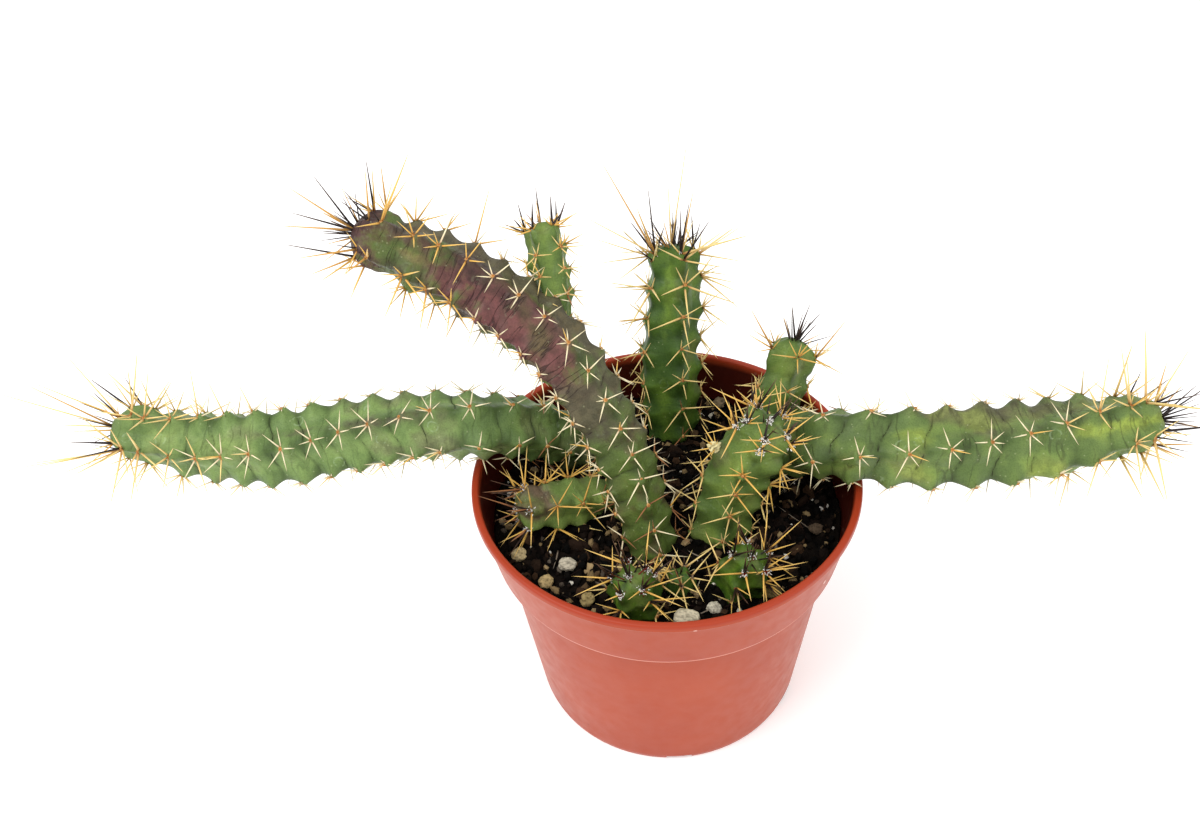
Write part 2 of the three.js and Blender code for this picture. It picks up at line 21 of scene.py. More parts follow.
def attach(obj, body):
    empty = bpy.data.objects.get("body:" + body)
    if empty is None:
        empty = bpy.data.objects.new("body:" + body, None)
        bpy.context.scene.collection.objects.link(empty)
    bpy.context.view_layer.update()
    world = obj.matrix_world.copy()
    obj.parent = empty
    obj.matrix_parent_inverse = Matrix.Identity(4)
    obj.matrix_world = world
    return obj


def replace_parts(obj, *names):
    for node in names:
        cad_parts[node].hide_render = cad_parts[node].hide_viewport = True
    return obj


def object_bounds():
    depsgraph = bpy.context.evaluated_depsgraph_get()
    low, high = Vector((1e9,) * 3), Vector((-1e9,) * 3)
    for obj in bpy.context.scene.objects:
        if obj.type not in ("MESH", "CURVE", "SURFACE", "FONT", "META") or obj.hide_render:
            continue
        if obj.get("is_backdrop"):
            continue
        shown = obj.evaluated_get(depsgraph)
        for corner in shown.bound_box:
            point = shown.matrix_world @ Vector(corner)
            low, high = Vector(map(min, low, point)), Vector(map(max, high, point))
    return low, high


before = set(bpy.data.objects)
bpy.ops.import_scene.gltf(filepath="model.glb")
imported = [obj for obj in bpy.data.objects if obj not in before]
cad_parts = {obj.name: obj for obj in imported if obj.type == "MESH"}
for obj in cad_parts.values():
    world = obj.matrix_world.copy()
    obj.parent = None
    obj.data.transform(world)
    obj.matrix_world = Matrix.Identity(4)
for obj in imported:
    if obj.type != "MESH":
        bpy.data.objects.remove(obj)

log = logging.getLogger("cactus")

Array = np.ndarray
Point = tuple[float, float, float]
Colour = tuple[int, int, int]
Tint = tuple[float, float, float]
Material = bpy.types.Material
Group = bpy.types.NodeTree
Node = bpy.types.Node
Socket = bpy.types.NodeSocket
Sockets = Mapping[str, Socket]
Value = Union[float, tuple, Socket]
Chance = np.random.Generator

MM = 0.001
FULL_TURN = 2 * math.pi


# Small mathematics


def unit(vectors: Array) -> Array:
    """Vectors scaled to length one along their last axis."""
    return vectors / np.maximum(np.linalg.norm(vectors, axis=-1, keepdims=True), 1e-9)


def smooth(low: float, high: float, values: Array) -> Array:
    """A soft step: 0 below low, 1 above high, 3t^2 - 2t^3 between them."""
    t = np.clip((values - low) / (high - low), 0, 1)
    return t * t * (3 - 2 * t)


def around(angle: Array, first: Array, second: Array) -> Array:
    """The directions cos(angle) first + sin(angle) second."""
    return np.cos(angle)[..., None] * first + np.sin(angle)[..., None] * second


def polar(radius: Array, angle: Array, height: Array) -> Array:
    """The points (radius cos angle, radius sin angle, height)."""
    return np.stack(np.broadcast_arrays(radius * np.cos(angle), radius * np.sin(angle), height), -1)


def turns(count: int) -> Array:
    """Angles that divide a full turn evenly."""
    return FULL_TURN * np.arange(count) / count


def linear(colours: Sequence[float]) -> Array:
    """8-bit colours as linear light: ((c + 0.055) / 1.055)^2.4, and c / 12.92 near black."""
    share = np.asarray(colours, float) / 255
    return np.where(share <= 0.04045, share / 12.92, ((share + 0.055) / 1.055) ** 2.4)


def rgba(colour: Colour) -> tuple[float, float, float, float]:
    """An 8-bit colour as a linear RGBA value for a shader socket."""
    red, green, blue = linear(colour)
    return (float(red), float(green), float(blue), 1.0)


def ripple(points: Array, wavelength: float, seed: int, waves: int = 14) -> Array:
    """Smooth seeded unevenness: the mean of plane sine waves in random directions.

    Args:
        points: places, with their coordinates along the last axis.
        wavelength: the typical distance between bumps.
        seed: which unevenness.
        waves: how many waves are summed.

    Returns:
        Values of about -1 to 1, one for each point.
    """
    rng = np.random.default_rng(seed)
    directions = unit(rng.normal(size=(waves, 3)))
    numbers = FULL_TURN / wavelength * rng.uniform(0.6, 1.6, waves)
    phases = rng.uniform(0, FULL_TURN, waves)
    total = np.zeros(points.shape[:-1])
    for direction, number, phase in zip(directions, numbers, phases):
        total += np.sin(points @ direction * number + phase)
    return total / math.sqrt(waves / 2) * 0.7


def averaged(grid: Array, reach: int) -> Array:
    """Each value's mean over the rows up to reach before and after it."""
    padded = np.pad(grid, ((reach, reach), (0, 0)), mode="edge")
    return sum(padded[k : k + len(grid)] for k in range(2 * reach + 1)) / (2 * reach + 1)


# Meshes


@dataclass
class Surface:
    """A mesh in the making: points, four-sided and three-sided faces, and values at the points."""

    points: Array
    quads: Array = field(default_factory=partial(np.zeros, (0, 4), int))
    tris: Array = field(default_factory=partial(np.zeros, (0, 3), int))
    values: dict[str, Array] = field(default_factory=dict)
    colours: Optional[Array] = None

    def turned(self, angle: float) -> "Surface":
        """A copy turned about the Z axis."""
        c, s = math.cos(angle), math.sin(angle)
        return replace(self, points=self.points @ np.array([[c, s, 0], [-s, c, 0], [0, 0, 1]]))


def joined(surfaces: Sequence[Surface]) -> Surface:
    """Several surfaces as one.

    Args:
        surfaces: the surfaces; their named values are left out.

    Returns:
        Their points and faces, and their colours if all of them have some.
    """
    starts = np.cumsum([0] + [len(s.points) for s in surfaces[:-1]])
    coloured = all(s.colours is not None for s in surfaces)
    return Surface(
        points=np.concatenate([s.points for s in surfaces]),
        quads=np.concatenate([s.quads + start for s, start in zip(surfaces, starts)]),
        tris=np.concatenate([s.tris + start for s, start in zip(surfaces, starts)]),
        colours=np.concatenate([s.colours for s in surfaces]) if coloured else None,
    )


def closed_tubes(rings: Array, foot: Array, end: Array) -> Surface:
    """Closed bodies, each made of rings of points with a pole at either end.

    Args:
        rings: bodies x rings x points x 3; the points run anticlockwise as seen from the end.
        foot: each body's pole before its first ring.
        end: each body's pole after its last ring.

    Returns:
        The bodies as one surface; a body's points are those of its rings, its foot and its end.
    """
    count, rows, columns = rings.shape[:3]
    points = np.concatenate([rings.reshape(count, -1, 3), foot[:, None], end[:, None]], 1)
    row, here = np.meshgrid(np.arange(rows) * columns, np.arange(columns), indexing="ij")
    here = row + here
    after = np.roll(here, -1, axis=1)
    quads = np.stack([here[:-1], after[:-1], after[1:], here[1:]], -1).reshape(-1, 4)
    pole = np.full(columns, rows * columns)
    low_fan = np.stack([pole, after[0], here[0]], -1)
    high_fan = np.stack([pole + 1, here[-1], after[-1]], -1)
    offset = (np.arange(count) * points.shape[1])[:, None, None]
    tris = np.concatenate([low_fan, high_fan])[None] + offset
    return Surface(points.reshape(-1, 3), (quads[None] + offset).reshape(-1, 4), tris.reshape(-1, 3))


def ball(levels: int) -> tuple[Array, Array]:
    """A round ball of triangles: an icosahedron whose faces are split in four, levels times.

    Its faces join the corners that are an edge apart, about 1.05, wound so that they face outward.

    Args:
        levels: how often the faces are split.

    Returns:
        Its points on the unit sphere and its triangles.
    """
    g = (1 + math.sqrt(5)) / 2
    points = [(-1, g, 0), (1, g, 0), (-1, -g, 0), (1, -g, 0), (0, -1, g), (0, 1, g)]
    points += [(0, -1, -g), (0, 1, -g), (g, 0, -1), (g, 0, 1), (-g, 0, -1), (-g, 0, 1)]
    places = unit(np.array(points, float))
    triples = np.array(list(combinations(range(len(places)), 3)))
    a, b, c = np.moveaxis(places[triples], 1, 0)
    outward = np.sum(np.cross(b - a, c - a) * a, -1) > 0
    joins = np.linalg.norm([a - b, b - c, c - a], axis=-1).max(0) < 1.1
    faces = np.where(outward[:, None], triples, triples[:, ::-1])[joins]
    for _ in range(levels):
        a, b, c = np.moveaxis(places[faces], 1, 0)
        corners = np.concatenate([places, unit(a + b), unit(b + c), unit(c + a)])
        ab, bc, ca = (len(places) + k * len(faces) + np.arange(len(faces)) for k in range(3))
        i, j, k = faces.T
        quarters = ((i, ab, ca), (ab, j, bc), (ca, bc, k), (ab, bc, ca))
        faces = np.concatenate([np.stack(quarter, -1) for quarter in quarters])
        places, inverse = np.unique(corners.round(9), axis=0, return_inverse=True)
        faces = inverse.reshape(-1)[faces]
    return places, faces


class Slot(Enum):
    """The record's material slots."""

    POT = "pot_plastic"
    SOIL = "potting_soil"
    PUMICE = "pumice"
    GREEN_STEM = "green_stem"
    PURPLE_STEM = "purple_stem"


def placed(name: str, data: bpy.types.ID) -> bpy.types.Object:
    """A new object in the scene, at the origin.

    Args:
        name: its name.
        data: its mesh, lamp or camera.

    Returns:
        The object.
    """
    thing = bpy.data.objects.new(name, data)
    bpy.context.scene.collection.objects.link(thing)
    return thing


def build(name: str, surface: Surface, material: Material) -> bpy.types.Object:
    """Makes the object of a surface, at the origin, riding on the part's one body.

    Args:
        name: the piece's name.
        surface: its points in millimetres and its faces.
        material: its finish.

    Returns:
        The new object.
    """
    mesh = bpy.data.meshes.new(name)
    mesh.from_pydata(surface.points * MM, [], [*surface.quads.tolist(), *surface.tris.tolist()])
    mesh.validate()
    mesh.shade_smooth()
    for key, values in surface.values.items():
        mesh.attributes.new(key, "FLOAT", "POINT").data.foreach_set("value", values.astype(np.float32))
    if surface.colours is not None:
        tint = mesh.color_attributes.new("tint", "FLOAT_COLOR", "POINT")
        full = np.column_stack([surface.colours, np.ones(len(surface.colours))])
        tint.data.foreach_set("color", full.astype(np.float32).reshape(-1))
    mesh.materials.append(material)
    piece = placed(name, mesh)
    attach(piece, "root")
    log.info("%s: %d points, %d faces", name, len(mesh.vertices), len(mesh.polygons))
    return piece


# Shader node groups and materials


SOFT_STEP = {"interpolation_type": "SMOOTHSTEP"}


class Nodes:
    """A short way to add and link nodes in one node tree."""

    def __init__(self, tree: Group) -> None:
        """Keeps the tree that the nodes go into."""
        self.tree = tree

    def add(self, kind: str, settings: Optional[dict] = None, *first: Value, **named: Value) -> Node:
        """Adds a node.

        Args:
            kind: the node's type name.
            settings: its properties.
            *first: values or output sockets for its first inputs.
            **named: the same for inputs by name, with _ for a space.

        Returns:
            The node.
        """
        node = self.tree.nodes.new(kind)
        for key, value in (settings or {}).items():
            setattr(node, key, value)
        for socket, value in zip(node.inputs, first):
            self.put(socket, value)
        self.feed(node, **named)
        return node

    def feed(self, node: Node, **named: Value) -> None:
        """Gives a node's inputs their values or links, by name with _ for a space."""
        for key, value in named.items():
            self.put(node.inputs[key.replace("_", " ")], value)

    def put(self, socket: Socket, value: Value) -> None:
        """Links an output to a socket, or sets the socket's plain value."""
        if isinstance(value, Socket):
            self.tree.links.new(value, socket)
        else:
            socket.default_value = value

    def math(self, operation: str, first: Value, second: Value = 0.0, clamp: bool = False) -> Socket:
        """The result of a Math node, kept between 0 and 1 if clamp is true."""
        settings = {"operation": operation, "use_clamp": clamp}
        return self.add("ShaderNodeMath", settings, first, second).outputs[0]

    def times(self, *factors: Value) -> Value:
        """The product of values, or the value itself where there is only one."""
        return reduce(partial(self.math, "MULTIPLY"), factors)

    def plus(self, first: Value, second: Value) -> Socket:
        """The sum of two values."""
        return self.math("ADD", first, second)

    def less(self, first: Value, second: Value) -> Socket:
        """The first value less the second."""
        return self.math("SUBTRACT", first, second)

    def rest(self, share: Value) -> Socket:
        """One minus a share."""
        return self.less(1.0, share)

    def off(self, value: Value, middle: float) -> Socket:
        """How far a value is from a middle one."""
        return self.math("ABSOLUTE", self.less(value, middle))

    def mix(self, share: Value, first: Value, second: Value, blend: str = "MIX") -> Socket:
        """Adds a colour Mix node.

        Args:
            share: how much of the second colour there is.
            first: the first colour.
            second: the second colour.
            blend: how the second is laid on the first.

        Returns:
            The mixed colour.
        """
        node = self.add("ShaderNodeMix", {"data_type": "RGBA", "blend_type": blend})
        for number, value in ((0, share), (6, first), (7, second)):
            self.put(node.inputs[number], value)
        return node.outputs[2]

    def paint(self, colour: Value, tone: Colour, *amounts: Value) -> Socket:
        """A colour painted over with a tone, as strongly as the product of the amounts."""
        return self.mix(self.times(*amounts), colour, rgba(tone))

    def dim(self, colour: Value, tint: Tint, *amounts: Value) -> Socket:
        """A colour multiplied by a tint, as strongly as the product of the amounts."""
        return self.mix(self.times(*amounts), colour, (*tint, 1.0), "MULTIPLY")

    def step(self, value: Value, low: float, high: float) -> Socket:
        """A soft step from 0 where the value is low to 1 where it is high."""
        return self.add("ShaderNodeMapRange", SOFT_STEP, value, low, high).outputs["Result"]

    def noise(self, place: Socket, scale: Value, detail: float = 2.0) -> Socket:
        """Noise of about 0 to 1."""
        return self.add("ShaderNodeTexNoise", Vector=place, Scale=scale, Detail=detail).outputs["Fac"]

    def bump(self, height: Value, strength: float, distance: float) -> Socket:
        """The normals of a bump of a height, with a strength and a distance in metres."""
        return self.add("ShaderNodeBump", Height=height, Strength=strength, Distance=distance).outputs[0]

    def place(self) -> Socket:
        """Object coordinates."""
        return self.add("ShaderNodeTexCoord").outputs["Object"]

    def value(self, name: str) -> Socket:
        """A number that the mesh carries at its points."""
        return self.add("ShaderNodeAttribute", {"attribute_name": name}).outputs["Fac"]

    def tint(self) -> Socket:
        """The colour that the mesh carries at its points."""
        return self.add("ShaderNodeAttribute", {"attribute_name": "tint"}).outputs["Color"]

    def group(self, tree: Group, **inputs: float) -> Node:
        """Places a node group with its own values."""
        return self.add("ShaderNodeGroup", {"node_tree": tree}, **inputs)


def new_group(name: str, inputs: dict[str, float], outputs: Sequence[str]) -> tuple[Nodes, Sockets, Sockets]:
    """Starts a shader node group that takes and gives numbers.

    Args:
        name: the group's name.
        inputs: names and default values of its inputs.
        outputs: names of its outputs.

    Returns:
        The group's nodes, the sockets of its inputs and those of its outputs.
    """
    tree = bpy.data.node_groups.new(name, "ShaderNodeTree")
    for key, value in inputs.items():
        socket = tree.interface.new_socket(key, in_out="INPUT", socket_type="NodeSocketFloat")
        socket.default_value = value
    for key in outputs:
        tree.interface.new_socket(key, in_out="OUTPUT", socket_type="NodeSocketFloat")
    nodes = Nodes(tree)
    return nodes, nodes.add("NodeGroupInput").outputs, nodes.add("NodeGroupOutput").inputs


@cache
def mottle_group() -> Group:
    """Cloudy unevenness: one noise for large clouds and one for small ones.

    Each is 0.5 + 2.4 Contrast (noise - 0.5), kept between 0 and 1.

    Returns:
        The group.
    """
    nodes, source, result = new_group("mottle", {"Scale": 60.0, "Contrast": 1.0}, ("Cloud", "Fine"))
    place = nodes.place()
    large = nodes.noise(place, source["Scale"], 4.0)
    small = nodes.noise(place, nodes.times(source["Scale"], 7.0), 3.0)
    for key, noise in (("Cloud", large), ("Fine", small)):
        spread = nodes.times(nodes.less(noise, 0.5), source["Contrast"], 2.4)
        nodes.put(result[key], nodes.math("ADD", spread, 0.5, clamp=True))
    return nodes.tree


@cache
def speck_group() -> Group:
    """Scattered round specks: cells whose own random value is low enough keep a dot in the middle.

    Returns:
        The group.
    """
    nodes, source, result = new_group("specks", {"Scale": 400.0, "Size": 0.25, "Share": 0.2}, ("Mask",))
    cells = nodes.add("ShaderNodeTexVoronoi", Vector=nodes.place(), Scale=source["Scale"]).outputs
    near = nodes.math("LESS_THAN", cells["Distance"], source["Size"])
    lucky = nodes.add("ShaderNodeSeparateColor", Color=cells["Color"]).outputs["Red"]
    nodes.put(result["Mask"], nodes.times(near, nodes.math("LESS_THAN", lucky, source["Share"])))
    return nodes.tree


@cache
def ring_group() -> Group:
    """Dried water spots: thin rings round the middles of a few cells, broken up by noise.

    Returns:
        The group.
    """
    nodes, source, result = new_group("water_spots", {"Scale": 180.0, "Share": 0.3}, ("Mask",))
    place = nodes.place()
    cells = nodes.add("ShaderNodeTexVoronoi", Vector=place, Scale=source["Scale"]).outputs
    ring = nodes.rest(nodes.step(nodes.off(cells["Distance"], 0.3), 0.0, 0.09))
    lucky = nodes.add("ShaderNodeSeparateColor", Color=cells["Color"]).outputs["Green"]
    kept = nodes.math("LESS_THAN", lucky, source["Share"])
    broken = nodes.step(nodes.noise(place, 900.0), 0.42, 0.6)
    nodes.put(result["Mask"], nodes.times(ring, kept, broken))
    return nodes.tree


@cache
def wrinkle_group() -> Group:
    """Fine folds across a stem: the lines along which a stretched noise passes its middle value.

    The noise's place is (along / Spacing, cos(angle) / 2, sin(angle) / 2), with along in
    millimetres, so that most lines run round the stem. A cloud leaves out part of them.

    Returns:
        The group.
    """
    nodes, source, result = new_group("wrinkles", {"Spacing": 4.0}, ("Mask",))
    along = nodes.math("DIVIDE", nodes.value("along"), source["Spacing"])
    front, side = (nodes.times(nodes.value(name), 0.5) for name in ("front", "side"))
    folds = nodes.noise(nodes.add("ShaderNodeCombineXYZ", X=along, Y=front, Z=side).outputs[0], 1.0)
    line = nodes.rest(nodes.step(nodes.off(folds, 0.5), 0.0, 0.026))
    kept = nodes.step(nodes.noise(nodes.place(), 110.0), 0.36, 0.56)
    nodes.put(result["Mask"], nodes.times(line, kept))
    return nodes.tree


class Coat(Nodes):
    """The nodes of a new material with its Principled shader."""

    def __init__(self, name: str, **plain: Value) -> None:
        """Makes the material.

        Args:
            name: its name.
            **plain: plain values of the shader's sockets, which hold where nothing is linked.
        """
        self.made = bpy.data.materials.new(name)
        self.made.use_nodes = True
        super().__init__(self.made.node_tree)
        self.shader = self.tree.nodes["Principled BSDF"]
        self.feed(self.shader, **plain)

    def worn(self, **looks: Value) -> Material:
        """Links what the shader shows, and gives the material."""
        self.feed(self.shader, **looks)
        return self.made


class Shade(Enum):
    """What a marking does to the skin; the value names the mask that the mesh carries."""

    BLUSH = "blush"
    PALE = "pale"
    BROWN = "brown"
    # Dark purple-brown at the tip and along the lower side: partly the skin's own colour, partly painted
    # shade.
    DUSK = "dusk"


@dataclass(frozen=True)
class SkinFinish:
    """The skin of a stem: its greens, its marked tones, painted shade and highlight on its relief, and how
    wrinkled and spotted it is.

    The mesh carries the numbers that it reads at its points: ridge, dent, crease, row, age,
    along, front, side and a mask for each Shade.
    """

    name: str
    green: Colour
    valley: Colour
    shade: Colour
    blush: Colour = (98, 62, 62)
    pale: Colour = (150, 172, 72)
    dry: Colour = (98, 88, 78)
    dusk: Optional[Colour] = None
    wrinkles: float = 0.3
    spots: float = 0.35
    spacing: float = 4.0
    furrow: Colour = (44, 44, 28)
    aged: float = 0.6
    gathered: float = 0.0
    valley_share: float = 0.75
    cloud_share: float = 0.55
    crest_share: float = 0.35
    dent_tint: Tint = (0.45, 0.48, 0.4)
    dent_share: float = 0.75
    swell_share: float = 0.3
    patch_share: float = 0.92
    patch_depth: float = 0.82
    age_tint: Tint = (0.4, 0.44, 0.33)
    pore_tint: Tint = (0.5, 0.52, 0.45)
    pore_share: float = 0.34
    wrinkle_share: float = 0.75
    crease_share: float = 0.26
    line_share: float = 0.85
    speck: Colour = (200, 206, 160)
    speck_share: float = 0.16
    water_spot: Colour = (168, 188, 150)
    spot_share: float = 0.7
    bump: float = 0.7
    bump_height: float = 0.0004

    def depth(self, tone: Colour) -> Colour:
        """The darker shade of a tone that it is patched with."""
        return tuple(int(part * self.patch_depth) for part in tone)

    def greens(self, nodes: Nodes, cloud: Socket) -> Socket:
        """The clouded green: lighter in the valleys, darker over the ribs, with painted shade in the dents
        and a painted highlight on the swells.

        Args:
            nodes: the material's nodes.
            cloud: large soft noise.

        Returns:
            The colour.
        """
        ridge, dent = nodes.value("ridge"), nodes.value("dent")
        hollow = nodes.times(nodes.rest(nodes.step(ridge, 0.0, 0.75)), nodes.step(cloud, 0.1, 0.75))
        colour = nodes.paint(rgba(self.green), self.valley, hollow, self.valley_share)
        colour = nodes.paint(colour, self.shade, nodes.step(cloud, 0.75, 0.2), self.cloud_share)
        colour = nodes.paint(colour, self.shade, nodes.step(ridge, 0.62, 1.0), self.crest_share)
        # Painted shade in the dents and a painted highlight on the swells of the relief.
        colour = nodes.dim(colour, self.dent_tint, nodes.step(dent, 0.0, 1.0), self.dent_share)
        return nodes.paint(colour, self.valley, nodes.step(dent, 0.0, -1.0), self.swell_share)

    def patched(self, nodes: Nodes, colour: Socket, cloud: Socket, grain: Socket) -> Socket:
        """The colour with the marked areas over it, each as soft step(mask (0.65 + 0.7 grain) + cloud - 0.5).

        Args:
            nodes: the material's nodes.
            colour: the green.
            cloud: large soft noise.
            grain: small noise.

        Returns:
            The colour.
        """
        tones = {Shade.BLUSH: self.blush, Shade.BROWN: self.dry, Shade.DUSK: self.dusk, Shade.PALE: self.pale}
        ragged, patches = nodes.plus(nodes.times(grain, 0.7), 0.65), nodes.step(grain, 0.2, 0.8)
        drift = nodes.less(cloud, 0.5)
        for shade, tone in tones.items():
            if tone is not None:
                strength = nodes.times(nodes.value(shade.value), ragged)
                shows = nodes.step(nodes.plus(strength, drift), 0.1, 0.95)
                patchy = nodes.paint(rgba(tone), self.depth(tone), patches)
                colour = nodes.mix(nodes.times(shows, self.patch_share), colour, patchy)
        return colour

    def wrinkle_mask(self, nodes: Nodes) -> Socket:
        """How strongly the fine folds show; gathered of them show only in blushed skin.

        Args:
            nodes: the material's nodes.

        Returns:
            The mask.
        """
        folds = nodes.group(wrinkle_group(), Spacing=self.spacing).outputs["Mask"]
        blushed = nodes.step(nodes.value(Shade.BLUSH.value), 0.1, 0.7)
        share = nodes.plus(nodes.times(blushed, self.gathered), 1 - self.gathered)
        return nodes.times(folds, share, self.wrinkles)

    def crease_line(self, nodes: Nodes, grain: Socket) -> Socket:
        """The thin broken line in the middle of each crease, where the row value passes 0.

        Args:
            nodes: the material's nodes.
            grain: small noise.

        Returns:
            The line's mask.
        """
        crease = nodes.value("crease")
        sway = nodes.times(nodes.less(nodes.noise(nodes.place(), 260.0), 0.5), 0.7)
        middle = nodes.math("ABSOLUTE", nodes.plus(nodes.value("row"), sway))
        line = nodes.rest(nodes.step(middle, 0.02, 0.13))
        broken = nodes.step(nodes.plus(crease, grain), 0.75, 1.3)
        return nodes.times(line, nodes.step(crease, 0.08, 0.6), broken)

    @cache
    def material(self) -> Material:
        """Builds the skin's material from its greens, patches, folds, specks and water spots, with painted
        shade in its folds and creases and towards its foot.

        Returns:
            The material.
        """
        nodes = Coat(self.name, Roughness=0.5, Specular_IOR_Level=0.2)
        clouds = nodes.group(mottle_group(), Scale=80.0, Contrast=1.25).outputs
        grains = nodes.group(mottle_group(), Scale=340.0, Contrast=1.0).outputs
        grain, pores = grains["Cloud"], grains["Fine"]
        colour = self.patched(nodes, self.greens(nodes, clouds["Cloud"]), clouds["Cloud"], grain)
        # Darker towards the foot: partly the older skin's own colour, partly painted shade from the pot and
        # the other stems.
        colour = nodes.dim(colour, self.age_tint, nodes.value("age"), self.aged)
        colour = nodes.dim(colour, self.pore_tint, nodes.step(pores, 0.35, 0.85), self.pore_share)
        wrinkle, line = self.wrinkle_mask(nodes), self.crease_line(nodes, grain)
        # Painted shade in the fine folds, the creases and the crease lines.
        colour = nodes.paint(colour, self.furrow, wrinkle, self.wrinkle_share)
        colour = nodes.paint(colour, self.furrow, nodes.value("crease"), self.crease_share)
        colour = nodes.paint(colour, self.furrow, line, self.line_share)
        specks = nodes.group(speck_group(), Scale=900.0, Size=0.22, Share=0.1).outputs["Mask"]
        colour = nodes.paint(colour, self.speck, specks, self.speck_share)
        rings = nodes.group(ring_group(), Scale=210.0, Share=0.24).outputs["Mask"]
        colour = nodes.paint(colour, self.water_spot, rings, self.spots * self.spot_share)
        rough = nodes.plus(nodes.times(clouds["Fine"], 0.16), 0.38)
        height = nodes.plus(nodes.times(pores, 0.12), nodes.times(grain, 0.35))
        height = nodes.less(height, nodes.plus(wrinkle, line))
        return nodes.worn(
            Base_Color=colour,
            Roughness=nodes.plus(rough, nodes.times(wrinkle, 0.1)),
            Normal=nodes.bump(height, self.bump, self.bump_height),
        )


@dataclass(frozen=True)
class TintedFinish:
    """A finish whose colour the mesh carries at its points, clouded a little."""

    name: str
    roughness: float
    clouding: float
    grain: float
    gloss: float = 0.08
    darker: Tint = (0.55, 0.55, 0.55)
    bump_height: float = 0.0002

    def material(self) -> Material:
        """Builds the material: the mesh's own tint, darkened in places by small noise.

        Returns:
            The material.
        """
        nodes = Coat(self.name, Roughness=self.roughness, Specular_IOR_Level=self.gloss)
        clouds = nodes.group(mottle_group(), Scale=260.0, Contrast=1.0).outputs
        colour = nodes.dim(nodes.tint(), self.darker, clouds["Cloud"], self.clouding)
        return nodes.worn(Base_Color=colour, Normal=nodes.bump(clouds["Fine"], self.grain, self.bump_height))


@dataclass(frozen=True)
class PlasticFinish:
    """The pot's moulded plastic, with heights in metres where a mark starts and ends."""

    name: str = "terracotta_plastic"
    base: Colour = (164, 67, 34)
    deep: Colour = (154, 58, 28)
    mould_line: Colour = (236, 168, 148)
    line_height: float = 0.0607
    line_core: float = 0.00012
    line_edge: float = 0.0005
    lip: Colour = (150, 46, 24)
    lip_from: float = 0.0788
    lip_to: float = 0.0796
    scuff: Colour = (240, 214, 200)
    scuffs_from: float = 0.056
    scuffs_to: float = 0.062
    fleck: Colour = (110, 44, 30)
    shadow: Colour = (46, 9, 7)
    dust: Colour = (150, 120, 108)

    def material(self) -> Material:
        """Builds the plastic: clouded colour, a paler moulding line, scuffs, dust and dark flecks.

        Returns:
            The material.
        """
        nodes = Coat(self.name, Roughness=0.36, Specular_IOR_Level=0.22)
        clouds = nodes.group(mottle_group(), Scale=38.0, Contrast=0.9).outputs
        height = nodes.add("ShaderNodeSeparateXYZ", Vector=nodes.place()).outputs["Z"]
        inside = nodes.value("inside")
        line = nodes.rest(nodes.step(nodes.off(height, self.line_height), self.line_core, self.line_edge))
        banded = nodes.times(nodes.step(height, self.scuffs_from, self.scuffs_to), 0.7)
        scuffs = nodes.group(speck_group(), Scale=105.0, Size=0.065, Share=0.34).outputs["Mask"]
        flecks = nodes.group(speck_group(), Scale=150.0, Size=0.06, Share=0.1).outputs["Mask"]
        dust = nodes.group(speck_group(), Scale=420.0, Size=0.2, Share=0.1).outputs["Mask"]
        colour = nodes.paint(rgba(self.deep), self.base, clouds["Cloud"])
        colour = nodes.paint(colour, self.mould_line, line, 0.5)
        colour = nodes.paint(colour, self.lip, nodes.step(height, self.lip_from, self.lip_to), 0.6)
        colour = nodes.paint(colour, self.scuff, scuffs, nodes.plus(banded, 0.1))
        colour = nodes.paint(colour, self.fleck, flecks, 0.5)
        colour = nodes.paint(colour, self.shadow, inside, 0.92)
        colour = nodes.paint(colour, self.dust, dust, inside, 0.45)
        rough = nodes.plus(nodes.times(clouds["Fine"], 0.14), 0.3)
        bump = nodes.bump(clouds["Cloud"], 0.12, 0.0008)
        return nodes.worn(Base_Color=colour, Roughness=rough, Normal=bump)


@dataclass(frozen=True)
class GroundFinish:
    """The dark potting mix under its grit."""

    name: str = "peat"
    dark: Colour = (6, 5, 4)
    brown: Colour = (24, 18, 14)
    dust: Colour = (130, 112, 90)

    def material(self) -> Material:
        """Builds the mix: near black with browner clouds, pale dust specks and a crumbly bump.

        Returns:
            The material.
        """
        nodes = Coat(self.name, Roughness=0.95, Specular_IOR_Level=0.06)
        clouds = nodes.group(mottle_group(), Scale=220.0, Contrast=1.3).outputs["Cloud"]
        dust = nodes.group(speck_group(), Scale=700.0, Size=0.22, Share=0.06).outputs["Mask"]
        lumps = nodes.group(mottle_group(), Scale=420.0, Contrast=1.4).outputs["Cloud"]
        colour = nodes.paint(nodes.paint(rgba(self.dark), self.brown, clouds), self.dust, dust, 0.6)
        return nodes.worn(Base_Color=colour, Normal=nodes.bump(lumps, 0.9, 0.0009))


@dataclass(frozen=True)
class StageFinish:
    """The plain white surface that the pot stands on."""

    name: str = "white_floor"
    darker: Colour = (250, 250, 250)
    lighter: Colour = (253, 253, 253)
    glow: float = 0.17

    def material(self) -> Material:
        """Builds the floor's material: a matte, faintly clouded white that lightens its own shadows.

        Returns:
            The material.
        """
        nodes = Coat(self.name, Roughness=0.9, Specular_IOR_Level=0.1, Emission_Strength=self.glow)
        nodes.feed(nodes.shader, Emission_Color=(1.0, 1.0, 1.0, 1.0))
        clouds = nodes.noise(nodes.place(), 3.0)
        return nodes.worn(Base_Color=nodes.paint(rgba(self.darker), self.lighter, clouds))


# Needles: spines, wool fibres and twigs


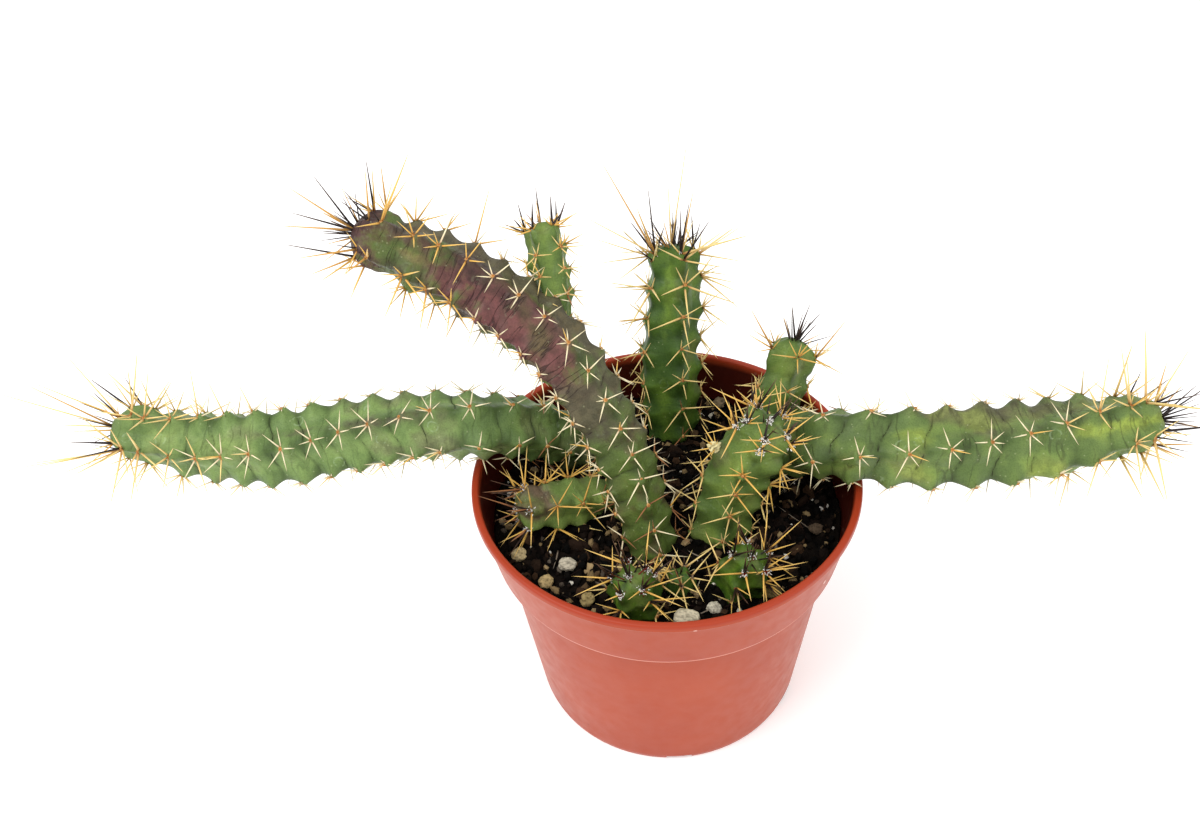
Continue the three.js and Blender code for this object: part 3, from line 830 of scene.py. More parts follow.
class Tone(Enum):
    """The colours that a spine may have, from its root over its middle to its end."""

    IVORY = ((166, 100, 54), (240, 229, 190), (200, 182, 142))
    STRAW = ((154, 90, 40), (238, 210, 136), (222, 194, 126))
    GOLDEN = ((146, 82, 32), (231, 185, 92), (224, 192, 122))
    SCORCHED = ((26, 12, 11), (208, 156, 78), (216, 180, 112))
    AMBER = ((62, 26, 16), (154, 102, 62), (136, 102, 74))
    DARK = ((20, 10, 10), (34, 20, 18), (104, 74, 52))
    RED = ((122, 18, 22), (110, 30, 26), (54, 22, 22))
    GREY = ((70, 58, 50), (140, 126, 110), (150, 140, 126))
    WHITE = ((252, 248, 238), (255, 253, 246), (254, 251, 242))

    @property
    def number(self) -> int:
        """Its row in TONE_TABLE."""
        return list(Tone).index(self)


TONE_TABLE = linear([tone.value for tone in Tone])

# The shares of a needle's length at which its rings lie, how fast it tapers, where its root's tone
# has gone and where its end's tone begins.
RING_SHARES = np.array([0.0, 0.12, 0.45, 0.85])
TAPER = 0.6
ROOT_TONE_END = 0.2
END_TONE_START = 0.55


@dataclass
class Needles:
    """Many thin tapered bodies as arrays: roots, ends, thickness at the root, bend and tone."""

    root: Array
    end: Array
    radius: Array
    bend: Array
    tone: Array

    def kept(self, mask: Array) -> "Needles":
        """The needles for which mask is true."""
        return Needles(*(part[mask] for part in vars(self).values()))

    def surface(self, sides: int = 5) -> Surface:
        """The needles' mesh.

        At share t of its length a needle's middle is root + t (end - root) + t^2 times a sideways
        bend, and its radius is the root radius times (1 - t)^TAPER.

        Args:
            sides: how many faces a needle has round it.

        Returns:
            The mesh, with a colour at each point.
        """
        axis = self.end - self.root
        along = unit(axis)
        helper = np.where(np.abs(along[:, 2:]) < 0.8, [[0.0, 0.0, 1.0]], [[1.0, 0.0, 0.0]])
        across = unit(np.cross(along, helper))
        bend = self.bend[:, None] * np.linalg.norm(axis, axis=1, keepdims=True) * across
        share = RING_SHARES[:, None]
        middle = self.root[:, None] + share * axis[:, None] + share**2 * bend[:, None]
        ring = around(turns(sides), across[:, None], np.cross(along, across)[:, None])
        wide = self.radius[:, None] * (1 - RING_SHARES) ** TAPER
        rings = middle[:, :, None] + wide[..., None, None] * ring[:, None]
        made = closed_tubes(rings, self.root, self.end + bend)
        at = np.concatenate([np.repeat(RING_SHARES, sides), [0.0, 1.0]])[:, None]
        low = np.clip(at / ROOT_TONE_END, 0, 1)
        high = np.clip((at - END_TONE_START) / (1 - END_TONE_START), 0, 1)
        start, centre, end = np.moveaxis(TONE_TABLE[self.tone][:, :, None], 1, 0)
        colours = (start * (1 - low) + centre * low) * (1 - high) + end * high
        made.colours = colours.reshape(-1, 3)
        return made


def needles_joined(sets: Sequence[Needles]) -> Needles:
    """Several sets of needles as one."""
    return Needles(*(np.concatenate(parts) for parts in zip(*(vars(one).values() for one in sets))))


# Stems


RIBS = 5
FRONT = unit(np.array([0.0, -0.74, 0.67]))
RIB_SHIFTS = np.array([0, 0.2, 0.4, -0.4, -0.2])
VALLEY = 0.7
RIDGE_POWER = 1.7
NOTCH = 0.64
NOTCH_POWER = 1.15
NOTCH_LEAD = 0.1
TROUGH = 0.035
CREST_SOFTNESS = 0.03
CREASE_WIDTH = 0.055
CREASE_DEPTH = 0.05
BUMP_HEIGHT = 0.07
BUMP_WIDTH = 0.24
ROW_STEP = 0.55
END_ROWS = 14
COLUMNS_PER_RIB = 18

# The spines of a star: clock angle from the stem's direction, rise over the skin, relative size,
# the chance that it is there, the same chance near the tip, and whether it points up the stem.
STAR_CLOCKS = np.radians([-4, 50, 106, 180, 252, 306, 8])
STAR_RISES = np.radians([24, 18, 16, 19, 16, 18, 52])
STAR_SIZES = np.array([0.78, 0.95, 1.12, 0.95, 1.12, 0.95, 0.9])
STAR_CHANCES = np.array([0.7, 0.9, 1, 0.95, 1, 0.9, 0.25])
TIP_CHANCES = np.array([0.3, 0.6, 0.5, 0.3, 0.5, 0.6, 0.8])
POINTS_UP = np.array([True, True, False, False, False, True, False])

# The felt cushion of an areole: its rings' angles from the top, its rim and its colours.
DOME_ANGLES = np.radians([28, 60, 95])
DOME_COLUMNS = 9
DOME_PALENESS = np.array([0.1, 0.45, 0.9])
FELT_RUST = (164, 100, 50)
FELT_CREAM = (226, 190, 124)

# How far from the tip the longest spines grow, and how deep under the skin a spine starts.
FAR_REACH = 50.0
ROOT_DEPTH = 0.35

SCAB_HALF = np.array([1.5, 1.2, 1.4])
SCAB_COLOUR = (236, 222, 168)

# What grows on a stem is drawn by chance from its seed times this.
SEED_STEP = 101


@dataclass(frozen=True)
class Marking:
    """A soft-edged area of the skin: middle and half-width along the stem, and round it in degrees."""

    shade: Shade
    at: float
    reach: float
    angle: float
    spread: float
    strength: float

    def bell(self, distance: Array, angle: Array) -> Array:
        """How strongly it shows: strength exp(-(along / reach)^2 - (aside / spread)^2)."""
        aside = ((angle - self.angle + 180) % 360 - 180) / self.spread
        return self.strength * np.exp(-(((distance - self.at) / self.reach) ** 2) - aside**2)


@dataclass(frozen=True)
class Crown:
    """The tuft at a stem's growing tip, and what stands in the areoles next to it."""

    spines: int
    length: float
    tones: tuple[Tone, ...]
    wool: int = 10
    wools: tuple[Tone, ...] = (Tone.WHITE, Tone.WHITE, Tone.DARK)
    reach: float = 3.0
    centrals: int = 1
    puff: float = 0.4
    woolly_share: float = 0.75


@dataclass
class Areoles:
    """The cushions that spines grow from, as arrays: place, directions, youth and way to the tip."""

    point: Array
    out: Array
    along: Array
    youth: Array
    left: Array

@dataclass
class Stem:
    """One stem, described along the line through its middle.

    Of its fields crest holds (share of the length, radius over the ribs), first and pitch place the
    areoles, turn gives the first rib's angle at foot and tip, and far the longest spines' ends.
    """

    name: str
    line: Sequence[Point]
    crest: Sequence[tuple[float, float]]
    first: float
    pitch: float
    turn: tuple[float, float]
    spine: float
    far: dict[Tone, Sequence[Point]]
    finish: SkinFinish
    crown: Crown
    creases: float
    gold_reach: float
    seed: int
    markings: Sequence[Marking] = ()
    hand: int = 1
    growth: float = 1.2
    arms: float = 1.0
    short: float = 0.7
    shrink: float = 0.25
    young: Sequence[float] = (0.25, 0.62)
    old_tone: Tone = Tone.STRAW
    young_tone: Tone = Tone.GOLDEN
    slot: Slot = Slot.GREEN_STEM
    node: str = ""
    scab: Optional[Point] = None

    def __post_init__(self) -> None:
        """Samples the line: a uniform Catmull-Rom curve, measured along its arc.

        Between two points the curve is the cubic Hermite blend of them with slopes of half the
        chord between their neighbours. The ends are reflected.
        """
        line = np.array(self.line, float)
        padded = np.concatenate([[2 * line[0] - line[1]], line, [2 * line[-1] - line[-2]]])[:, None]
        before, start, end, after = padded[:-3], padded[1:-2], padded[2:-1], padded[3:]
        first, second = (end - before) / 2, (after - start) / 2
        t = np.linspace(0, 1, 200, endpoint=False)[:, None]
        spans = (2 * t**3 - 3 * t**2 + 1) * start + (t**3 - 2 * t**2 + t) * first
        spans = spans + (3 * t**2 - 2 * t**3) * end + (t**3 - t**2) * second
        self.samples = np.concatenate([spans.reshape(-1, 3), line[-1:]])
        steps = np.linalg.norm(np.diff(self.samples, axis=0), axis=1)
        self.arc = np.concatenate([[0], np.cumsum(steps)])
        self.length = float(self.arc[-1])
        self.round_end = self.length * self.crest[-1][0]
        self.young_rows = self.round_end + (self.length - self.round_end) * np.array(self.young)
        self.node = self.node or self.name

    def centre(self, distance: Array) -> Array:
        """Points on the middle line at distances from the foot."""
        return np.stack([np.interp(distance, self.arc, self.samples[:, k]) for k in range(3)], -1)

    def directions(self, distance: Array) -> tuple[Array, Array, Array]:
        """Unit directions along the stem, to its front and to its side.

        Args:
            distance: distances from the foot.

        Returns:
            The three directions at each distance.
        """
        after = self.centre(np.minimum(distance + 0.5, self.length))
        before = self.centre(np.maximum(distance - 0.5, 0))
        along = unit(after - before)
        front = unit(FRONT - along * (along @ FRONT)[..., None])
        return along, front, np.cross(along, front)

    def tip(self) -> tuple[Array, Array, Array, Array]:
        """The tip's point and the directions along, to the front and to the side there."""
        end = np.array([self.length])
        return (self.centre(end)[0], *(way[0] for way in self.directions(end)))

    def rib_angle(self, distance: Array, rib: Array) -> Array:
        """Angle from the front, in radians, of a place rib fifths of a turn from the first rib."""
        turn = self.turn[0] + distance / self.length * (self.turn[1] - self.turn[0])
        return np.radians(turn) + rib * FULL_TURN / RIBS

    def crest_radius(self, distance: Array) -> Array:
        """Radius over the ribs: straight between the stations, then an elliptical round end.

        Args:
            distance: distances from the foot.

        Returns:
            The radius at each distance.
        """
        share = np.clip(distance / self.length, 0, 1)
        stations, radii = np.array(self.crest).T
        past = np.clip((share - stations[-1]) / (1 - stations[-1]), 0, 1)
        return np.interp(share, stations, radii) * np.sqrt(1 - past**2)

    def row_place(self, distance: Array, shift: Array) -> Array:
        """Undoes the shift of a rib's areoles, which fades out over the first and the last row.

        Args:
            distance: distances from the foot.
            shift: the rib's shift, in rows.

        Returns:
            The distance at which the row would lie on a rib without a shift.
        """
        pitch, end = self.pitch, self.round_end
        near = distance / (1 + shift)
        far = (distance - shift * end) / (1 - shift)
        place = np.where(distance < pitch * (1 + shift), near, distance - shift * pitch)
        return np.where(distance > end - pitch * (1 - shift), np.where(distance > end, distance, far), place)

    def shifted(self, place: Array, shift: Array) -> Array:
        """Where a row at a distance comes to lie on a rib with that shift."""
        room = np.clip(np.minimum(place, self.round_end - place) / self.pitch, 0, 1)
        return place + shift * self.pitch * room

    def relief(self, distance: Array, rib: Array) -> tuple[Array, Array, Array, Array]:
        """Height of the skin as a share of the radius over the ribs.

        Across a rib it falls as (1 - w)^RIDGE_POWER from crest to valley, with w softened at the
        crest. Along it, |sin(pi phase)|^NOTCH_POWER cuts notches between pointed tubercles and a
        shallow trough in the valley. The phase gains a fifth from rib to rib, mostly in the valley,
        so that creases run on round the stem. Small bumps carry the young areoles on the round end.

        Args:
            distance: distances from the foot.
            rib: places round the stem, in ribs.

        Returns:
            The height, the ridge's share (1 on a crest, 0 in a valley), the crease's depth, and
            a sine that passes through 0 in the middle of each crease.
        """
        aside = rib - np.round(rib)
        w = np.abs(aside) * 2
        blunt = math.sqrt(CREST_SOFTNESS)
        soft = (np.sqrt(w**2 + CREST_SOFTNESS) - blunt) / (math.sqrt(1 + CREST_SOFTNESS) - blunt)
        ridge = (1 - soft) ** RIDGE_POWER
        swirl = self.hand * (np.round(rib) + 4 * aside**3) / RIBS
        phase = (self.row_place(distance, swirl - np.round(swirl)) - self.first) / self.pitch + NOTCH_LEAD
        inside = smooth(0, 0.6 * self.pitch, distance)
        inside = inside * smooth(0, 0.5 * self.pitch, self.round_end - distance)
        notch = np.abs(np.sin(math.pi * phase)) ** NOTCH_POWER * inside
        turn = np.floor(phase) - np.round(swirl)
        chance = np.mod(np.sin(turn * 12.99 + self.seed) * 43758.5, 1)
        strength = 0.35 + 0.65 * chance * (0.5 + 0.5 * np.sin(rib * 2.6 + 9 * chance)) ** 0.5
        off = np.mod(phase, 1) - 0.5 - 0.05 * np.sin(2.3 * rib + 6 * chance)
        crease = np.exp(-((off / CREASE_WIDTH) ** 2)) * inside * strength * smooth(0.02, 0.2, w)
        bump = sum(np.exp(-(((distance - at) / (BUMP_WIDTH * self.pitch)) ** 2)) for at in self.young_rows)
        height = VALLEY + (1 - VALLEY) * ridge * (1 - NOTCH * notch) - TROUGH * (1 - ridge) * notch
        height = height + BUMP_HEIGHT * ridge * bump - CREASE_DEPTH * self.creases * crease
        return height, ridge, crease, np.sin(FULL_TURN * off)

    def place(self, distance: Array, rib: Array, radius: Array) -> Array:
        """The points centre + radius (cos angle front + sin angle side), at places counted in ribs."""
        _, front, side = self.directions(distance)
        return self.centre(distance) + radius[..., None] * around(self.rib_angle(distance, rib), front, side)

    def mask(self, shade: Shade, distance: Array, angle: Array) -> Array:
        """How strongly a shade shows: the largest of its markings' bells; the angle is in degrees."""
        bells = [mark.bell(distance, angle) for mark in self.markings if mark.shade is shade]
        return np.max([np.zeros(distance.shape), *bells], axis=0)

    def skin(self) -> Surface:
        """The closed skin on a grid of distances and places round the stem.

        The radius is the relief's height times the radius over the ribs, plus small unevenness of
        two sizes that fades out at the tip.

        Returns:
            The skin, which carries at its points the numbers that its finish reads.
        """
        spread = np.sin(np.linspace(0, math.pi / 2, END_ROWS + 1)[:-1])
        end = self.round_end + (self.length - self.round_end) * spread
        rows = np.concatenate([np.arange(0, self.round_end, ROW_STEP), end])
        columns = np.arange(RIBS * COLUMNS_PER_RIB) / COLUMNS_PER_RIB
        distance, rib = np.meshgrid(rows, columns, indexing="ij")
        height, ridge, crease, row = self.relief(distance, rib)
        radius = self.crest_radius(distance) * height
        even = self.place(distance, rib, radius)
        uneven = 0.16 * ripple(even, 9.0, self.seed) + 0.05 * ripple(even, 3.0, self.seed + 50)
        rings = self.place(distance, rib, radius + uneven * smooth(0, 3, self.length - distance))
        skin = closed_tubes(rings[None], self.centre(np.zeros(1)), self.centre(np.array([self.length])))
        angle = self.rib_angle(distance, rib)
        values = {
            "ridge": ridge,
            "crease": crease * self.creases,
            "row": row,
            "dent": (averaged(radius, 8) - radius) / 0.9,
            # Darker towards the foot, partly as painted shade.
            "age": 1 - smooth(0.08, 0.5, distance / self.length),
            "along": distance,
            "front": np.cos(angle),
            "side": np.sin(angle),
        }
        masks = {shade.value: self.mask(shade, distance, np.degrees(angle)) for shade in Shade}
        skin.values = {key: np.append(value, [0.0, 0.0]) for key, value in (values | masks).items()}
        return skin

    def areoles(self) -> Areoles:
        """The areoles of every rib, and small young ones on the round end.

        Returns:
            The areoles, rib by rib.
        """
        rows = np.arange(self.first, self.round_end - self.pitch / 4, self.pitch)
        grid = self.shifted(rows, self.hand * RIB_SHIFTS[:, None])
        grid = np.concatenate([grid, np.tile(self.young_rows, (RIBS, 1))], 1)
        distance, rib = grid.reshape(-1), np.repeat(np.arange(RIBS, dtype=float), grid.shape[1])
        point = self.place(distance, rib, self.crest_radius(distance) * self.relief(distance, rib)[0])
        along, front, side = self.directions(distance)
        lean = np.clip((distance - self.round_end) / (self.length - self.round_end), 0, 1)[:, None]
        straight = around(self.rib_angle(distance, rib), front, side)
        out = unit(straight * (1 - 0.8 * lean) + along * (0.15 + 0.9 * lean))
        upward = unit(along - out * np.sum(along * out, -1, keepdims=True))
        left = self.length - distance
        return Areoles(point, out, upward, np.clip(1 - left / self.gold_reach, 0, 1), left)

    def scab_lump(self) -> Surface:
        """The pale dried lump over one areole: a ball pushed in and out by small waves.

        Returns:
            The lump, with a colour at each point.
        """
        base, faces = ball(3)
        crumbs = ripple(base, 0.7, self.seed, 24)
        points = base * (1 + 0.28 * crumbs[:, None]) * SCAB_HALF + np.array(self.scab)
        # Darker in the lump's dips: painted shade.
        tone = linear(SCAB_COLOUR) * (0.85 + 0.3 * np.clip(crumbs, -1, 0.5))[:, None]
        return Surface(points, tris=faces, colours=tone)


@dataclass
class Growth:
    """What grows from a stem's areoles and at its tip, drawn from one source of chance."""

    stem: Stem
    areoles: Areoles
    rng: Chance

    def star_tones(self, youth: Array, worn: Array) -> Array:
        """The tones of the star spines: old ones browned, partly as painted shade, young ones golden, the
        steep one its own.

        Args:
            youth: how near the tip each areole is, from 0 to 1.
            worn: how near the foot it is, from 0 to 1.

        Returns:
            A row of TONE_TABLE for each spine.
        """
        draw = self.rng.uniform(0, 1, (len(youth), len(STAR_CLOCKS)))
        young, old = self.stem.young_tone.number, self.stem.old_tone.number
        tone = np.where(draw < smooth(0.0, 0.55, youth), young, old)
        # Spines near the foot are drawn amber: partly the old spines' own colour, partly painted shade.
        tone = np.where(draw > 1 - 0.6 * worn, Tone.AMBER.number, tone)
        steep = np.where(self.rng.uniform(0, 1, len(youth)) < 0.5, Tone.GOLDEN.number, young)
        tone[:, -1] = np.where(youth[:, 0] > 0.75, Tone.DARK.number, steep)
        return tone

    def stars(self) -> Needles:
        """Six spines spread like a star, and at some areoles a steep one that points to the tip.

        A spine's direction is cos(rise) (cos(clock) along + sin(clock) across) + sin(rise) out.

        Returns:
            The spines.
        """
        stem, areoles, rng = self.stem, self.areoles, self.rng
        point, out, along = (part[:, None] for part in (areoles.point, areoles.out, areoles.along))
        count, each = len(point), len(STAR_CLOCKS)
        youth = areoles.youth[:, None]
        worn = 1 - smooth(0.04, 0.4, 1 - areoles.left / stem.length)[:, None]
        clock = STAR_CLOCKS + rng.normal(0, 0.13, (count, each)) + rng.normal(0, 0.14, (count, 1))
        rise = STAR_RISES + rng.uniform(-0.1, 0.2, (count, each)) + 0.3 * youth
        size = STAR_SIZES * np.where(POINTS_UP, stem.short, 1) * rng.uniform(0.82, 1.16, (count, each))
        size = size * rng.uniform(0.9, 1.08, (count, 1)) * (1 - stem.shrink * worn)
        length = stem.spine * size * (1 + stem.growth * youth**1.3 * rng.uniform(0.1, 1.2, size.shape))
        flat = around(clock, along, np.cross(along, out))
        root = point - ROOT_DEPTH * out + 0.3 * flat
        end = root + length[..., None] * around(rise, flat, out)
        tone = self.star_tones(youth, worn)
        chance = np.where(youth > 0.85, TIP_CHANCES, STAR_CHANCES) * (1 - 0.45 * worn) * stem.arms
        there = rng.uniform(0, 1, (count, each)) < chance
        radius = rng.uniform(0.14, 0.19, (count, each)) + 0.012 * length
        return Needles(root, end, radius, rng.normal(0, 0.018, (count, each)), tone).kept(there)

    def longest(self) -> Needles:
        """The longest spines, which end at the places in the stem's far.

        Each starts at the tip or the areole that is nearest to its end, of those within FAR_REACH
        of the tip that face it.

        Returns:
            The spines.
        """
        areoles, far_sets = self.areoles, self.stem.far
        near = areoles.left < FAR_REACH
        tip, along, _, _ = self.stem.tip()
        roots = np.concatenate([[tip - 0.8 * along], areoles.point[near] - ROOT_DEPTH * areoles.out[near]])
        outs = np.concatenate([[along], areoles.out[near]])
        far = np.concatenate([np.array(places, float) for places in far_sets.values()])
        tone = np.repeat([tone.number for tone in far_sets], [len(places) for places in far_sets.values()])
        reach = far[:, None] - roots
        gap = np.linalg.norm(reach, axis=-1)
        facing = np.sum(unit(reach) * outs, -1) > 0.1
        start = roots[np.where(facing, gap, gap + 100).argmin(1)]
        stout = np.isin(tone, [Tone.DARK.number, Tone.SCORCHED.number])
        radius = self.rng.uniform(0.25, 0.29, len(far)) + 0.07 * stout
        return Needles(start, far, radius, self.rng.normal(0, 0.012, len(far)), tone)

    def centrals(self) -> Needles:
        """The stiff spines that stand up in the youngest areoles, between out and along.

        Returns:
            The spines.
        """
        areoles, crown, rng = self.areoles, self.stem.crown, self.rng
        young = np.repeat(areoles.left < crown.reach, crown.centrals)
        parts = (areoles.point, areoles.out, areoles.along)
        root, out, along = (np.repeat(part, crown.centrals, 0)[young] for part in parts)
        count = len(root)
        direction = unit(0.85 * out + 0.6 * along + rng.normal(0, 0.3, root.shape))
        end = root + crown.length * rng.uniform(0.55, 1.0, (count, 1)) * direction
        radius, bend = rng.uniform(0.36, 0.45, count), rng.normal(0, 0.02, count)
        return Needles(root - 0.3 * out, end, radius, bend, np.full(count, crown.tones[0].number))

    def tuft(self) -> Needles:
        """The crown's other spines, spread round the tip's direction.

        Returns:
            The spines.
        """
        (tip, along, front, side), crown, rng = self.stem.tip(), self.stem.crown, self.rng
        count = crown.spines
        clock = FULL_TURN * (np.arange(count) + rng.uniform(0, 0.8, count)) / count
        spread = np.radians(rng.uniform(8, 62, count))
        ring = around(clock, front, side)
        length = crown.length * rng.uniform(0.55, 1.05, count)[:, None]
        root = tip - 1.2 * along + self.stem.crest[-1][1] * 0.35 * np.sin(spread)[:, None] * ring
        end = root + length * around(spread, along, ring)
        tone = rng.choice([tone.number for tone in crown.tones], count)
        return Needles(root, end, rng.uniform(0.21, 0.29, count), rng.normal(0, 0.02, count), tone)

    def woolly(self) -> Array:
        """Which areoles carry wool."""
        return self.areoles.left < self.stem.crown.reach * self.stem.crown.woolly_share

    def wool(self) -> Needles:
        """Short fibres on the young areoles of the crown and over its middle.

        Returns:
            The fibres.
        """
        areoles, crown, rng, woolly = self.areoles, self.stem.crown, self.rng, self.woolly()
        tip, along, _, _ = self.stem.tip()
        spots = np.repeat(np.concatenate([areoles.point[woolly], [tip]]), crown.wool, 0)
        outs = np.repeat(np.concatenate([areoles.out[woolly], [along]]), crown.wool, 0)
        root = spots + rng.normal(0, crown.puff, spots.shape)
        direction = unit(outs * 0.9 + rng.normal(0, 0.8, root.shape))
        end = root + direction * rng.uniform(0.3, 0.8, (len(root), 1))
        tone = rng.choice([tone.number for tone in crown.wools], len(root))
        radius = 0.3 * crown.puff * rng.uniform(0.8, 1.3, len(root))
        return Needles(root, end, radius, rng.normal(0, 0.25, len(root)), tone)

    def cushions(self) -> Surface:
        """Low domes of felt at the areoles.

        A dome's point at an angle a from its top and b round it is
        point + r sin a (1.15 cos b along + sin b across) + 0.62 r cos a out.

        Returns:
            The domes, with a colour at each point.
        """
        areoles, crown, rng = self.areoles, self.stem.crown, self.rng
        count = len(areoles.point)
        size = rng.uniform(0.45, 0.6, count) * (1 - 0.2 * areoles.youth)
        size = (size * (1 + self.woolly() * (crown.puff - 0.4) * 3))[:, None, None, None]
        parts = (areoles.point, areoles.out, areoles.along)
        point, out, along = (part[:, None, None] for part in parts)
        flat = around(turns(DOME_COLUMNS), along[:, 0] * 1.15, np.cross(along, out)[:, 0])[:, None]
        low, high = np.sin(DOME_ANGLES)[:, None, None], 0.62 * np.cos(DOME_ANGLES)[:, None, None]
        rings = point + size * low * flat + size * high * out
        rings = rings + rng.normal(0, 0.035, rings.shape)
        top = (point + 0.66 * size * out)[:, 0, 0]
        domes = closed_tubes(rings, top, areoles.point - 0.3 * areoles.out)
        pale = np.concatenate([np.repeat(DOME_PALENESS, DOME_COLUMNS), [0.0, 1.0]])[:, None]
        colours = linear(FELT_RUST) * (1 - pale) + linear(FELT_CREAM) * pale
        colours = colours * rng.uniform(0.75, 1.15, (count, 1, 1))
        fresh = (areoles.left < crown.reach + 2)[:, None, None] * 0.8
        colours = colours * (1 - fresh) + linear(crown.wools[-1].value[1]) * fresh
        domes.colours = colours.reshape(-1, 3)
        return domes


# Where along a spine it is watched, and what is tried in turn to free it: how far it is lifted away
# from its stem, as a share of its length, and how much of its length is left.
WATCHED_SHARES = np.array([0.35, 0.5, 0.65, 0.8, 1.0])
LIFTS_AND_SHARES = ((0.0, 1.0), (0.5, 0.9), (1.0, 0.75), (0.4, 0.55))


@dataclass
class Clearance:
    """Keeps spines out of other stems, the soil and the pot's wall, and near the CAD part's box."""

    stems: Sequence[Stem]
    wall: "Pot"
    ground: "Soil"
    box: Sequence[Sequence[float]]
    sample_step: float = 2.0
    spare_share: float = 0.009
    stem_gap: float = 0.4
    wall_gap: float = 0.5
    rim_gap: float = 0.6
    top_gap: float = 0.4
    soil_gap: float = 0.2

    def __post_init__(self) -> None:
        """Samples every stem's middle line, and widens the box by a small share."""
        samples = [(stem, np.arange(0, stem.length, self.sample_step)) for stem in self.stems]
        self.point = np.concatenate([stem.centre(distance) for stem, distance in samples])
        self.radius = np.concatenate([stem.crest_radius(distance) for stem, distance in samples])
        self.owner = np.repeat([stem.node for stem in self.stems], [len(distance) for _, distance in samples])
        low, high = (np.array(corner) / MM for corner in self.box)
        spare = self.spare_share * (high - low)
        self.low, self.high = low - spare, high + spare

    def free(self, needles: Needles, owner: str) -> Array:
        """Which needles stay clear at five places along them.

        Args:
            needles: the needles.
            owner: the stem that they grow from, which they may touch.

        Returns:
            True for each needle that is clear.
        """
        others = self.owner != owner
        at = needles.root + WATCHED_SHARES[:, None, None] * (needles.end - needles.root)
        gap = np.linalg.norm(at[:, :, None] - self.point[others], axis=-1) - self.radius[others]
        across, height = np.linalg.norm(at[..., :2], axis=-1), at[..., 2]
        past_wall = across > self.wall.inner_radius(np.minimum(height, self.wall.height)) - self.wall_gap
        beside = (across < self.wall.rim + self.rim_gap) & (height < self.wall.height + self.top_gap)
        in_soil = height < self.ground.top(at[..., 0], at[..., 1]) + self.soil_gap
        hits = (past_wall & beside) | (in_soil & (across < self.wall.rim))
        in_box = ((at > self.low) & (at < self.high)).all(-1)
        return ((gap.min(-1) > self.stem_gap) & ~hits & in_box).all(0)

    def fitted(self, needles: Needles, owner: str) -> Needles:
        """The needles that are clear, and the others lifted or shortened until they are, or left out.

        Args:
            needles: the needles.
            owner: the stem that they grow from.

        Returns:
            The needles that stay clear.
        """
        own = self.point[self.owner == owner]
        kept = []
        for lift, share in LIFTS_AND_SHARES:
            axis = needles.end - needles.root
            length = np.linalg.norm(axis, axis=1, keepdims=True)
            nearest = np.linalg.norm(needles.root[:, None] - own, axis=-1).argmin(1)
            out = unit(needles.root - own[nearest])
            end = needles.root + unit(axis + lift * length * out) * length * share
            tried = replace(needles, end=end)
            clear = self.free(tried, owner)
            kept.append(tried.kept(clear))
            needles = needles.kept(~clear)
        return needles_joined(kept)


# The pot


def filleted(corners: Sequence[tuple[float, float, float]], step: float = 2.5) -> Array:
    """A profile of [radius, height] points with rounded corners.

    A corner C becomes the curve (1 - t)^2 A + 2 t (1 - t) C + t^2 B between points A and B at a
    given distance from it, and long straight stretches are divided.

    Args:
        corners: radius, height and rounding distance of each corner, in order.
        step: the longest straight stretch.

    Returns:
        The profile's points.
    """
    table = np.array(corners, float)
    flat, here, size = table[:, :2], table[1:-1, :2], table[1:-1, 2:]
    before = here + unit(flat[:-2] - here) * size
    after = here + unit(flat[2:] - here) * size
    t = np.linspace(0, 1, 7)[:, None, None]
    curves = (1 - t) ** 2 * before + 2 * t * (1 - t) * here + t**2 * after
    sparse = np.concatenate([flat[:1], curves.swapaxes(0, 1).reshape(-1, 2), flat[-1:]])
    reach = np.diff(sparse, axis=0)
    pieces = (np.linalg.norm(reach, axis=1) // step).astype(int) + 1
    stretch = np.repeat(np.arange(len(pieces)), pieces)
    number = np.arange(len(stretch)) - (np.cumsum(pieces) - pieces)[stretch] + 1
    share = (number / pieces[stretch])[:, None]
    return np.concatenate([sparse[:1], sparse[stretch] + share * reach[stretch]])


def box_outline(middle: float, width: float, depth: float) -> Array:
    """A rectangle's corners, anticlockwise, with its middle on the X axis."""
    signs = np.array([[-1, -1], [1, -1], [1, 1], [-1, 1]])
    return np.array([middle, 0]) + signs * np.array([width, depth]) / 2


def circle_outline(middle: float, radius: float, sides: int) -> Array:
    """A circle's points, anticlockwise, with its middle on the X axis."""
    return np.array([middle, 0]) + polar(radius, turns(sides), 0.0)[:, :2]


def prism(outline: Array, low: float, high: float) -> Surface:
    """A closed upright body between two levels, with an outline of x and y, anticlockwise."""
    rings = np.stack([np.column_stack([outline, np.full(len(outline), level)]) for level in (low, high)])
    return closed_tubes(rings[None], rings[:1].mean(1), rings[1:].mean(1))


